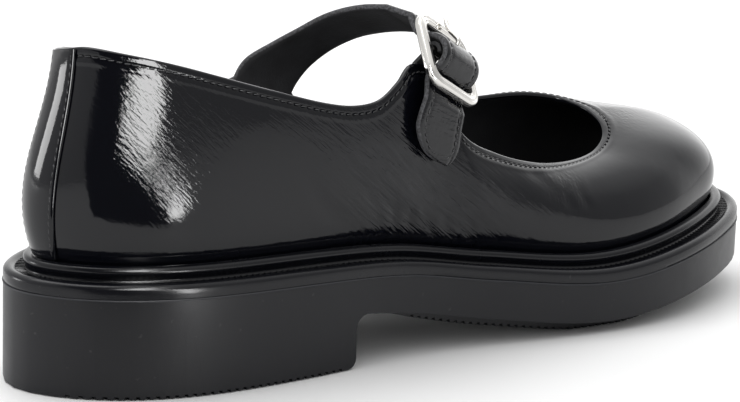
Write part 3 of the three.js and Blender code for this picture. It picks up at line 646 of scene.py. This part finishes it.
def patent_leather(name, marked):
    """Patent leather: a smooth polyurethane lacquer on dyed cowhide, so mirror-like with fine wrinkles."""
    made, tree, place = new_material(name)
    peel = add_node(tree, "ShaderNodeTexNoise", {"Scale": 120.0, "Detail": 2.0}, {"Vector": place})
    bump = add_node(
        tree, "ShaderNodeBump", {"Strength": 1.0, "Distance": 0.00007}, {"Height": peel.outputs["Fac"]}
    )
    bump = add_node(
        tree, "ShaderNodeBump", {"Strength": 1.0, "Distance": 0.000012},
        {"Height": streaks(tree, place, 1.6, 1.2, 0.8, 45, 2.0), "Normal": bump.outputs[0]},
    )
    haze = add_node(tree, "ShaderNodeTexNoise", {"Scale": 45.0, "Detail": 4.0}, {"Vector": place})
    wear_and_crease_sheen = add_node(
        tree, "ShaderNodeMapRange", {"From Min": 0.6, "From Max": 0.9, "To Max": 0.3},
        {"Value": haze.outputs["Fac"]},
    )
    if marked:
        for field, *sizes, depth in VAMP_LINES:
            share = add_node(tree, "ShaderNodeAttribute", {"attribute_name": field})
            line = add_node(
                tree, "ShaderNodeMath", {"operation": "MULTIPLY"},
                {0: streaks(tree, place, *sizes), 1: share.outputs["Fac"]},
            )
            bump = add_node(
                tree, "ShaderNodeBump", {"Strength": 1.0, "Distance": depth},
                {"Height": line.outputs[0], "Normal": bump.outputs[0]},
            )
        # Painted crease highlight: on the upper the lighter tint follows the raised crests of the fan streaks
        # instead of the random haze.
        wear_and_crease_sheen = add_node(
            tree, "ShaderNodeMapRange", {"From Min": 0.42, "From Max": 0.62}, {"Value": line.outputs[0]}
        )
    tint = add_node(
        tree, "ShaderNodeMix",
        {"data_type": "RGBA", "A": hex_colour(PATENT_BLACK), "B": hex_colour(PATENT_WEAR_AND_CREASE_SHEEN)},
        {"Factor": wear_and_crease_sheen.outputs[0]},
    )
    rough = add_node(
        tree, "ShaderNodeMapRange", {"From Min": 0.3, "From Max": 0.7, "To Min": 0.05, "To Max": 0.09},
        {"Value": haze.outputs["Fac"]},
    )
    shader = add_node(
        tree, "ShaderNodeBsdfPrincipled", {"IOR": 1.42},
        {"Base Color": tint.outputs["Result"], "Roughness": rough.outputs[0], "Normal": bump.outputs[0]},
    )
    add_node(tree, "ShaderNodeOutputMaterial", links={"Surface": shader.outputs[0]})
    return made


patent = patent_leather("patent_leather_vamp", True)
upper.data.materials.append(patent)
upper.data.materials.append(lining_leather("calf_lining", "#222225"))
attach(upper, "root")
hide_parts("upper")

# Backstay: tapered strip of the same patent leather, stitched down both edges over the heel seam.
STAY_LOW = 0.033
STAY_TOP = 0.034
STAY_THICK = 1.0
STAY_LIFT = 0.3

share_row = np.linspace(-1, 1, 25)
stay_rows_out = []
stay_rows_in = []
for up in np.linspace(0.02, 0.992, 60):
    half = STAY_LOW + (STAY_TOP - STAY_LOW) * up
    spots_at = share_row * half
    face = upper_face(spots_at, up)
    normal = face_normal(spots_at, up)
    edge = np.clip((1 - np.abs(share_row)) / 0.10, 0, 1)
    seam = np.exp(-(((np.abs(share_row) - 0.86) / 0.05) ** 2))
    lift = STAY_LIFT + STAY_THICK * (0.35 + 0.65 * np.sqrt(edge)) - 0.12 * seam
    stay_rows_out.append(face + normal * lift[:, None])
    stay_rows_in.append((face + normal * STAY_LIFT)[::-1])
stay_rows = [np.concatenate([a, b]) for a, b in zip(stay_rows_out, stay_rows_in)]
backstay = skin("backstay_strip", stay_rows, True)
join_up(backstay)
cap_ends(backstay)
face_out(backstay)
smooth(backstay, 60)
backstay.data.materials.append(patent_leather("patent_leather_backstay", False))
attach(backstay, "root")
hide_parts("backstay")

# Stitches: dark waxed polyester thread, each stitch a short lozenge lying in the shallow trough that the
# needle and the thread's pull leave along the edge.
THREAD_GREY = "#121214"
STITCH_PITCH = 2.3
STITCH_LONG = 1.75
STITCH_TILT = 0.12


def waxed_thread(name, colour):
    """Bonded polyester thread: a soft sheen with the twist of its plies."""
    made, tree, place = new_material(name)
    ply = add_node(tree, "ShaderNodeTexWave", {"Scale": 900.0, "Distortion": 1.0}, {"Vector": place})
    bump = add_node(
        tree, "ShaderNodeBump", {"Strength": 1.0, "Distance": 0.00005}, {"Height": ply.outputs["Fac"]}
    )
    tint = add_node(
        tree, "ShaderNodeMix", {"data_type": "RGBA", "A": hex_colour(colour), "B": hex_colour("#2e2e31")},
        {"Factor": ply.outputs["Fac"]},
    )
    shader = add_node(
        tree, "ShaderNodeBsdfPrincipled", {"Roughness": 0.3},
        {"Base Color": tint.outputs["Result"], "Normal": bump.outputs[0]},
    )
    add_node(tree, "ShaderNodeOutputMaterial", links={"Surface": shader.outputs[0]})
    return made


thread = waxed_thread("waxed_polyester_thread", THREAD_GREY)


def one_stitch():
    """Points and faces of one stitch, lying along X, one unit long and one unit thick."""
    pick()
    bpy.ops.mesh.primitive_uv_sphere_add(segments=8, ring_count=6, radius=0.5, rotation=(0, math.pi / 2, 0))
    bpy.ops.object.transform_apply(rotation=True)
    ball = bpy.context.object
    points = np.array([v.co[:] for v in ball.data.vertices])
    points[:, 0] = np.sign(points[:, 0]) * np.abs(2 * points[:, 0]) ** 0.7 / 2
    faces = [list(p.vertices) for p in ball.data.polygons]
    bpy.data.objects.remove(ball)
    return points, faces


stitch_points, stitch_faces = one_stitch()


def stitch_row(name, path, normals, thick, sink=0.0):
    """Stitches in a row along a path in millimetres."""
    path = np.asarray(path, float)
    normals = np.asarray(normals, float)
    far = np.concatenate([[0], np.cumsum(np.linalg.norm(np.diff(path, axis=0), axis=1))])
    count = max(2, int(far[-1] / STITCH_PITCH))
    points = []
    faces = []
    for k in range(count):
        middle = (k + 0.5) * far[-1] / count
        a, b, n = [
            np.array([np.interp(where, far, source[:, axis]) for axis in range(3)])
            for where, source in (
                (middle - STITCH_LONG / 2, path), (middle + STITCH_LONG / 2, path), (middle, normals)
            )
        ]
        run = b - a
        run /= np.linalg.norm(run)
        n = n - run * (n @ run)
        n /= np.linalg.norm(n)
        side = np.cross(n, run)
        tilt = run * math.cos(STITCH_TILT) + side * math.sin(STITCH_TILT)
        wide = np.cross(n, tilt)
        start = len(points) * len(stitch_points)
        points.append(
            (a + b) / 2 + n * (0.18 * thick - sink)
            + stitch_points[:, :1] * STITCH_LONG * tilt + stitch_points[:, 1:2] * thick * wide
            + stitch_points[:, 2:] * thick * n
        )
        faces += [[start + v for v in face] for face in stitch_faces]
    made = laid_mesh(name, np.concatenate(points), faces)
    smooth(made, 80)
    made.data.materials.append(thread)
    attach(made, "root")
    return made


edge_at = np.linspace(0.036, 1.964, 900)
edge_pull = 3 * np.hypot(rib_curve[5](edge_at), rib_curve[6](edge_at))
edge_up = 1 - EDGE_STITCH_IN / edge_pull
edge_line = upper_face(edge_at, edge_up)
stitch_row("top_line_stitches", edge_line, face_normal(edge_at, edge_up), 0.46)
for side_name, sign in (("outer", 1), ("inner", -1)):
    ups = np.linspace(0.03, 0.975, 80)
    at = sign * 0.86 * (STAY_LOW + (STAY_TOP - STAY_LOW) * ups)
    lifted = upper_face(at, ups) + face_normal(at, ups) * (STAY_LIFT + STAY_THICK - 0.1)
    stitch_row(f"backstay_stitches_{side_name}", lifted, face_normal(at, ups), 0.42, 0.16)

# Instep strap: two layers of leather, patent outside and lining inside, with inked raw edges. It comes up
# from inside the inner quarter, threads the buckle over its bar and ends in a rounded tip on the quarter.
STRAP_ROWS = [  # back edge x, y, z and front edge x, y, z
    (87.8, 24.0, 66.0, 109.0, 23.9, 59.4), (91.3, 24.3, 75.6, 112.2, 24.7, 66.8),
    (95.3, 23.4, 82.2, 115.2, 24.2, 73.0), (103.0, 20.4, 87.1, 118.9, 21.6, 79.0),
    (108.2, 15.0, 91.6, 123.3, 16.6, 84.6), (112.2, 8.4, 96.3, 127.8, 10.0, 88.9),
    (115.4, 2.0, 99.3, 131.6, 3.4, 91.2), (118.6, -4.2, 101.1, 135.2, -2.8, 92.4),
    (122.0, -10.2, 101.8, 138.4, -8.2, 92.6),
]
THREAD_ROWS = [  # along the buckle, off its plane
    (14.8, -4), (11.4, -3.7), (7.4, -2.5), (4.7, 1.8), (2.5, 4),
    (-0.2, 4.9), (-3.2, 4.5), (-5.6, 2.2), (-7.2, -2.2), (-10.3, -3.6),
]
TIP_ROWS = [
    (118.2, -36.2, 79.2, 134.4, -34.4, 71.2), (116.2, -36.5, 74.8, 132.7, -35.4, 66.6),
    (115.2, -36.6, 70.8, 131.8, -35.9, 62.6), (116.2, -36.6, 66.6, 130.6, -36.2, 60.2),
    (118.6, -36.6, 62.6, 129, -36.4, 58.4), (122.4, -36.7, 59.6, 126.8, -36.6, 57.4),
]
STRAP_WIDE = 18.4
STRAP_THICK = 2.0
STRAP_STEPS = 9
BUCKLE_CENTRE = np.array([132.2, -28.2, 87.2])

across = np.array([0.86, 0.19, -0.48])
across /= np.linalg.norm(across)
along = np.array([0.25, 0.66, 0.71])
along -= across * (along @ across)
along /= np.linalg.norm(along)
off = np.cross(across, along)


def at_buckle(u, v, n):
    return BUCKLE_CENTRE + u * across + v * along + n * off


def finer(rows, steps):
    keyed = [(i, *row) for i, row in enumerate(rows)]
    places = np.linspace(0, len(rows) - 1, (len(rows) - 1) * steps + 1)
    return np.stack([smooth_row(keyed, c + 1)(places) for c in range(len(rows[0]))], axis=-1)


threaded = [
    (*at_buckle(-STRAP_WIDE / 2, v, n), *at_buckle(STRAP_WIDE / 2, v, n)) for v, n in THREAD_ROWS
]
strap_line = np.concatenate([finer(rows, STRAP_STEPS) for rows in (STRAP_ROWS, threaded, TIP_ROWS)])
backs = strap_line[:, :3]
fronts = strap_line[:, 3:]
centre = (backs + fronts) / 2
run = np.gradient(centre, axis=0)
side = fronts - backs
strap_width = np.linalg.norm(side, axis=1)
strap_out = np.cross(run, side)
strap_out /= np.linalg.norm(strap_out, axis=1, keepdims=True)
strap_far = np.concatenate([[0], np.cumsum(np.linalg.norm(np.diff(centre, axis=0), axis=1))])


def strap_section(count_top, count_low):
    """Share across, and height over the middle of the thickness, round the strap's section."""
    shares = []
    heights = []
    kinds = []
    for k in range(count_top):
        s = k / (count_top - 1)
        shares.append(0.02 + 0.96 * s)
        edge = min(s, 1 - s)
        seam = math.exp(-(((edge - 0.135) / 0.03) ** 2))
        heights.append(1.0 - 0.35 * math.exp(-edge / 0.02) - 0.16 * seam + 0.10 * math.sin(math.pi * s))
        kinds.append(0)
    shares += [1.0, 1.0]
    heights += [0.35, -0.6]
    kinds += [1, 1]
    for k in range(count_low):
        s = k / (count_low - 1)
        shares.append(0.985 - 0.97 * s)
        heights.append(-1.0)
        kinds.append(2)
    shares += [0.0, 0.0]
    heights += [-0.6, 0.35]
    kinds += [1, 1]
    return np.array(shares), np.array(heights), np.array(kinds)


shares, heights, kinds = strap_section(34, 10)
half_thick = STRAP_THICK / 2
strap_rows = []
lift = heights * half_thick
for i in range(len(strap_line)):
    strap_rows.append(backs[i] + shares[:, None] * side[i] + lift[:, None] * strap_out[i])
strap = skin("instep_strap", strap_rows, True)
rows_count = len(strap_rows)
kind_next = np.roll(kinds, -1)
column_kind = np.where((kinds == 0) & (kind_next == 0), 0, np.where((kinds == 2) & (kind_next == 2), 1, 2))
strap.data.polygons.foreach_set("material_index", np.tile(column_kind, rows_count - 1).astype(np.int32))
join_up(strap)
cap_ends(strap)
face_out(strap)
smooth(strap, 60)


def strap_patent(name):
    """The same lacquered leather, worked harder: fine cross wrinkles where it bends."""
    made, tree, place = new_material(name)
    bump = None
    for sizes, depth in (((5.0, 4.0, 1.0, 20, 2.0), 0.00010), ((1.6, 5.0, 2.0, -35, 2.0), 0.00008)):
        line = streaks(tree, place, *sizes)
        links = {"Height": line}
        if bump:
            links["Normal"] = bump.outputs[0]
        bump = add_node(tree, "ShaderNodeBump", {"Strength": 1.0, "Distance": depth}, links)
    shader = add_node(
        tree, "ShaderNodeBsdfPrincipled", {"Base Color": hex_colour("#0a0b10"), "Roughness": 0.12},
        {"Normal": bump.outputs[0]},
    )
    add_node(tree, "ShaderNodeOutputMaterial", links={"Surface": shader.outputs[0]})
    return made


def raw_edge(name):
    """Cut edge of the leather, inked black: fibrous and dull."""
    made, tree, place = new_material(name)
    fibre = add_node(tree, "ShaderNodeTexNoise", {"Scale": 1400.0, "Detail": 4.0}, {"Vector": place})
    loose = add_node(
        tree, "ShaderNodeMapRange", {"From Min": 0.35, "From Max": 0.7}, {"Value": fibre.outputs["Fac"]}
    )
    tint = add_node(
        tree, "ShaderNodeMix", {"data_type": "RGBA", "A": hex_colour("#1c1c1e"), "B": hex_colour("#56565a")},
        {"Factor": loose.outputs[0]},
    )
    bump = add_node(
        tree, "ShaderNodeBump", {"Strength": 1.0, "Distance": 0.00015}, {"Height": fibre.outputs["Fac"]}
    )
    shader = add_node(
        tree, "ShaderNodeBsdfPrincipled", {"Roughness": 0.8},
        {"Base Color": tint.outputs["Result"], "Normal": bump.outputs[0]},
    )
    add_node(tree, "ShaderNodeOutputMaterial", links={"Surface": shader.outputs[0]})
    return made


edge_ink = raw_edge("inked_leather_edge")
strap.data.materials.append(strap_patent("patent_leather_strap"))
strap.data.materials.append(lining_leather("strap_lining", "#333337"))
strap.data.materials.append(edge_ink)
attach(strap, "root")
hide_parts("strap")

STRAP_STITCH_IN = 2.5
share_in = STRAP_STITCH_IN / strap_width
last = int(np.searchsorted(strap_far, strap_far[-1] - STRAP_STITCH_IN))
back_line = (backs + side * share_in[:, None] + strap_out * (half_thick * 0.92))[:last]
front_line = (fronts - side * share_in[:, None] + strap_out * (half_thick * 0.92))[:last]
tip_line = np.linspace(back_line[-1], front_line[-1], 8)[1:-1]
strap_path = np.concatenate([back_line, tip_line, front_line[::-1]])
strap_norm = np.concatenate([strap_out[:last], np.tile(strap_out[last - 1], (6, 1)), strap_out[:last][::-1]])
stitch_row("strap_stitches", strap_path, strap_norm, 0.5)

# Buckle tab: a loop of thin leather round the centre bar, its tail stitched between the layers of the
# outer quarter's ear.
tab = cad_copy("buckle_tab", "buckle_tab_loop")
finish_with(tab, "BEVEL", width=0.0002, segments=2, limit_method="ANGLE", angle_limit=math.radians(50))
smooth(tab, 40)
tab.data.materials.clear()
tab.data.materials.append(lining_leather("tab_leather", "#242427"))
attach(tab, "root")
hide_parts("buckle_tab")

# Buckle: a rounded rectangular frame cast in zinc, nickel plated and polished, with two shallow grooves
# round its face and a round bar across the middle.
BUCKLE_WIDE = 27.2
BUCKLE_HIGH = 25.4
BUCKLE_CORNER = 6.2
BUCKLE_BAR = 3.6
BAR_RADIUS = 1.25


def plated_nickel(name, roughness):
    """Bright nickel plate over zinc: near mirror with a fine polishing haze."""
    made, tree, place = new_material(name)
    haze = add_node(tree, "ShaderNodeTexNoise", {"Scale": 350.0, "Detail": 4.0}, {"Vector": place})
    bump = add_node(
        tree, "ShaderNodeBump", {"Strength": 1.0, "Distance": 0.00001}, {"Height": haze.outputs["Fac"]}
    )
    rough = add_node(
        tree, "ShaderNodeMapRange",
        {"From Min": 0.3, "From Max": 0.7, "To Min": roughness - 0.04, "To Max": roughness + 0.05},
        {"Value": haze.outputs["Fac"]},
    )
    shader = add_node(
        tree, "ShaderNodeBsdfPrincipled", {"Base Color": hex_colour("#dedcd8"), "Metallic": 1.0},
        {"Roughness": rough.outputs[0], "Normal": bump.outputs[0]},
    )
    add_node(tree, "ShaderNodeOutputMaterial", links={"Surface": shader.outputs[0]})
    return made


def rounded_ring(wide, high, corner, facets):
    """Plan points of a rounded rectangle."""
    points = []
    for cx, cy, start in ((1, -1, -90), (1, 1, 0), (-1, 1, 90), (-1, -1, 180)):
        for k in range(facets + 1):
            turn = math.radians(start + 90 * k / facets)
            points.append((
                cx * (wide / 2 - corner) + corner * math.cos(turn),
                cy * (high / 2 - corner) + corner * math.sin(turn),
            ))
    return np.array(points)


FRAME_SECTION = [  # inset from the outer edge, height off the buckle's plane
    (0.0, 0.4), (0.1, 0.8), (0.4, 1.14), (0.78, 1.28), (1.02, 1.14), (1.22, 0.98), (1.48, 1.06), (1.8, 1.28),
    (2.1, 1.3), (2.36, 1.12), (2.6, 0.98), (2.86, 1.04), (3.14, 1.14), (3.42, 0.94), (3.58, 0.55), (3.6, 0.2),
    (3.6, -0.8), (3.3, -1.3), (0.4, -1.3), (0.0, -0.8),
]
ring_rows = []
for inset, height in FRAME_SECTION:
    plan = rounded_ring(
        BUCKLE_WIDE - 2 * inset, BUCKLE_HIGH - 2 * inset, max(0.6, BUCKLE_CORNER - inset), 10
    )
    ring_rows.append([at_buckle(u, v, height) for u, v in plan])
buckle = skin("buckle_frame", ring_rows, True, True)
join_up(buckle)
bar_rows = []
reach = BUCKLE_WIDE / 2 - BUCKLE_BAR / 2
for u in np.linspace(-reach, reach, 12):
    turns = np.arange(20) * 2 * math.pi / 20
    bar_rows.append([at_buckle(u, BAR_RADIUS * math.cos(t), BAR_RADIUS * math.sin(t)) for t in turns])
bar = skin("buckle_bar", bar_rows, True)
join_up(bar)
cap_ends(bar)
face_out(bar)
face_out(buckle)
pick(bar, buckle)
bpy.ops.object.join()
smooth(buckle, 40)
buckle.data.materials.clear()
buckle.data.materials.append(plated_nickel("nickel_plated_zinc", 0.12))
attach(buckle, "root")
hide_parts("buckle")

# Prong: bent nickel-plated steel wire, ringed loosely round the bar and laid over the top of the frame.
PRONG_ROWS = [(1.3, 1.9), (2.7, 3.9), (4.6, 5.3), (7.2, 4.3), (10.2, 3), (14.6, 2.6)]
PRONG_RADIUS = 0.8
BAR_GAP = 0.3


def wire_rows(points, radius, sides):
    points = np.asarray(points)
    run = np.gradient(points, axis=0)
    run /= np.linalg.norm(run, axis=1, keepdims=True)
    rows = []
    for p, r, scale in zip(points, run, radius):
        other = np.cross(r, across)
        rows.append([
            p + scale * (math.cos(t) * across + math.sin(t) * other)
            for t in np.arange(sides) * 2 * math.pi / sides
        ])
    return rows


prong_line = finer([(*at_buckle(0, v, n),) for v, n in PRONG_ROWS], 7)
taper = np.full(len(prong_line), PRONG_RADIUS)
taper[-6:] *= np.array([0.98, 0.95, 0.9, 0.8, 0.62, 0.3])
prong = skin("prong_stem", wire_rows(prong_line, taper, 16), True)
join_up(prong)
cap_ends(prong)
ring_radius = BAR_RADIUS + BAR_GAP + PRONG_RADIUS
turns = np.arange(40) * 2 * math.pi / 40
ring_line = np.array([at_buckle(0, ring_radius * math.cos(t), ring_radius * math.sin(t)) for t in turns])
ring_out = (ring_line - BUCKLE_CENTRE) / ring_radius
ring_rows = [
    ring_line + PRONG_RADIUS * (math.cos(t) * across + math.sin(t) * ring_out)
    for t in np.arange(14) * 2 * math.pi / 14
]
prong_ring = skin("buckle_prong_wire", ring_rows, True, True)
join_up(prong_ring)
face_out(prong)
face_out(prong_ring)
pick(prong, prong_ring)
bpy.ops.object.join()
prong = bpy.context.object
smooth(prong, 60)
prong.data.materials.clear()
prong.data.materials.append(plated_nickel("nickel_plated_steel", 0.14))
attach(prong, "root")
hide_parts("buckle_prong")

# Studio: a plain white floor, a white surround that is brighter beyond the toe, a wide soft overhead light,
# a soft light behind the heel, and a strip light by the heel with a dark flag that draws its edge.
pick()
bpy.ops.mesh.primitive_plane_add(size=6.0, location=(0, 0, -0.0003))
floor = bpy.context.object
floor.name = "studio_floor"
bpy.ops.object.transform_apply(location=True)
floor_paint, tree, place = new_material("matt_white_paint")
mottle = add_node(tree, "ShaderNodeTexNoise", {"Scale": 3.0}, {"Vector": place})
rough = add_node(
    tree, "ShaderNodeMapRange", {"From Min": 0.3, "From Max": 0.7, "To Min": 0.75, "To Max": 0.85},
    {"Value": mottle.outputs["Fac"]},
)
paint = add_node(
    tree, "ShaderNodeBsdfPrincipled", {"Base Color": hex_colour("#f4f4f4")}, {"Roughness": rough.outputs[0]}
)
add_node(tree, "ShaderNodeOutputMaterial", links={"Surface": paint.outputs[0]})
floor.data.materials.append(floor_paint)

surround = bpy.data.worlds.new("white_surround")
surround.use_nodes = True
sky = surround.node_tree
sky.nodes.clear()
heading = add_node(sky, "ShaderNodeTexCoord").outputs["Generated"]
SKY_PARTS = [  # direction, share of it where the glow starts and is full, brightness at each
    ((0.82, 0.57, 0.05), 0.62, 0.99, 0.0, 1.0),
    ((0.05, 0.1, 0.99), 0.5, 0.8, 0.0, 0.35),
    ((0.0, -1.0, 0.0), -0.2, 0.9, 0.78, 0.52),
]
glow, roof, wall = [
    add_node(
        sky, "ShaderNodeMapRange", {"From Min": start, "From Max": full, "To Min": dim, "To Max": bright},
        {"Value": add_node(
            sky, "ShaderNodeVectorMath", {"operation": "DOT_PRODUCT", 1: toward}, {0: heading}
        ).outputs["Value"]},
    ).outputs[0]
    for toward, start, full, dim, bright in SKY_PARTS
]
lit = add_node(sky, "ShaderNodeMath", {"operation": "MULTIPLY_ADD", 1: 1.1}, {0: glow, 2: wall})
lit = add_node(sky, "ShaderNodeMath", {"operation": "ADD"}, {0: lit.outputs[0], 1: roof})
white = add_node(sky, "ShaderNodeBackground", {"Color": (1, 1, 1, 1)}, {"Strength": lit.outputs[0]})
add_node(sky, "ShaderNodeOutputWorld", links={"Surface": white.outputs[0]})
bpy.context.scene.world = surround


def soft_light(name, place, aim, wide, high, brightness):
    """Square soft light: brightness is its face's radiance against a white surround of one."""
    lamp = bpy.data.lights.new(name, "AREA")
    lamp.shape = "RECTANGLE"
    lamp.size = wide
    lamp.size_y = high
    lamp.energy = brightness * math.pi * wide * high
    made = bpy.data.objects.new(name, lamp)
    made.location = place
    made.rotation_euler = (Vector(aim) - Vector(place)).to_track_quat("-Z", "Y").to_euler()
    bpy.context.scene.collection.objects.link(made)
    return made


soft_light("overhead_light", (-0.1, 0.35, 1.25), (0, 0, 0.05), 1.1, 0.9, 2.3)
soft_light("heel_light", (-1.05, 0.85, 0.22), (-0.13, 0, 0.07), 0.45, 0.3, 9.0)


CARD_HEADING = math.radians(-104)
CARD_FROM = np.array([-102.0, -22.0, 0])


def glossy_card(name, distance, rows, brightness):
    """Card at a distance from the heel, seen only in the shoe's gloss: height, left and right edge a row."""
    away = np.array([math.cos(CARD_HEADING), math.sin(CARD_HEADING), 0])
    right = np.array([-away[1], away[0], 0])
    points = []
    base = CARD_FROM + away * distance
    for z, left_edge, right_edge in rows:
        points.append((base + right * left_edge + np.array([0, 0, z])) * MM)
        points.append((base + right * right_edge + np.array([0, 0, z])) * MM)
    faces = [[2 * k, 2 * k + 1, 2 * k + 3, 2 * k + 2] for k in range(len(rows) - 1)]
    mesh = bpy.data.meshes.new(name)
    mesh.from_pydata([list(p) for p in points], [], faces)
    card = bpy.data.objects.new(name, mesh)
    bpy.context.scene.collection.objects.link(card)
    made, tree, _ = new_material(name + "_cloth")
    light = add_node(tree, "ShaderNodeEmission", {"Color": (1, 1, 1, 1), "Strength": brightness})
    add_node(tree, "ShaderNodeOutputMaterial", links={"Surface": light.outputs[0]})
    card.data.materials.append(made)
    card.visible_camera = False
    card.visible_diffuse = False
    card.visible_shadow = False
    card.visible_transmission = False
    return card


glossy_card("strip_light", 92, [
    (12, 28, 44), (26, 24, 42), (40, 17, 30), (51, 6, 17), (62, -6, 3), (72, -20, -1), (80, -31, -3),
    (92, -44, 1), (105, -40, 0), (115, -30, -2), (180, -12, 12), (250, 5, 30),
], 20.0)
glossy_card("dark_flag", 98, [
    (1, -93, 34), (26, -106, 34), (40, -112, 20), (63, -126, 4),
    (104, -159, 0), (144, -198, 4), (330, -290, 40),
], 0.08)

# Camera: a long lens at standing height off the outer rear quarter, rolled by under two degrees, with the
# whole shoe in its frame.
CAMERA_PLACE = (-0.5314, -0.66908, 0.2472)
CAMERA_LENS = 138.2
view_yaw = math.radians(52.034)
view_pitch = math.radians(-13.765)
view_roll = math.radians(1.886)
ahead = Vector((
    math.cos(view_pitch) * math.cos(view_yaw), math.cos(view_pitch) * math.sin(view_yaw), math.sin(view_pitch)
))
level = Vector((math.sin(view_yaw), -math.cos(view_yaw), 0))
rise = level.cross(ahead)
right = level * math.cos(view_roll) + rise * math.sin(view_roll)
upward = rise * math.cos(view_roll) - level * math.sin(view_roll)
camera_data = bpy.data.cameras.new("studio_camera")
camera_data.lens = CAMERA_LENS
camera_data.sensor_width = 36.0
camera_data.clip_start = 0.05
camera_data.clip_end = 20.0
camera = bpy.data.objects.new("studio_camera", camera_data)
camera.matrix_world = Matrix((
    (right.x, upward.x, -ahead.x, CAMERA_PLACE[0]),
    (right.y, upward.y, -ahead.y, CAMERA_PLACE[1]),
    (right.z, upward.z, -ahead.z, CAMERA_PLACE[2]),
    (0, 0, 0, 1),
))
bpy.context.scene.collection.objects.link(camera)
bpy.context.scene.camera = camera
bpy.context.scene.view_settings.view_transform = "Standard"
pick()
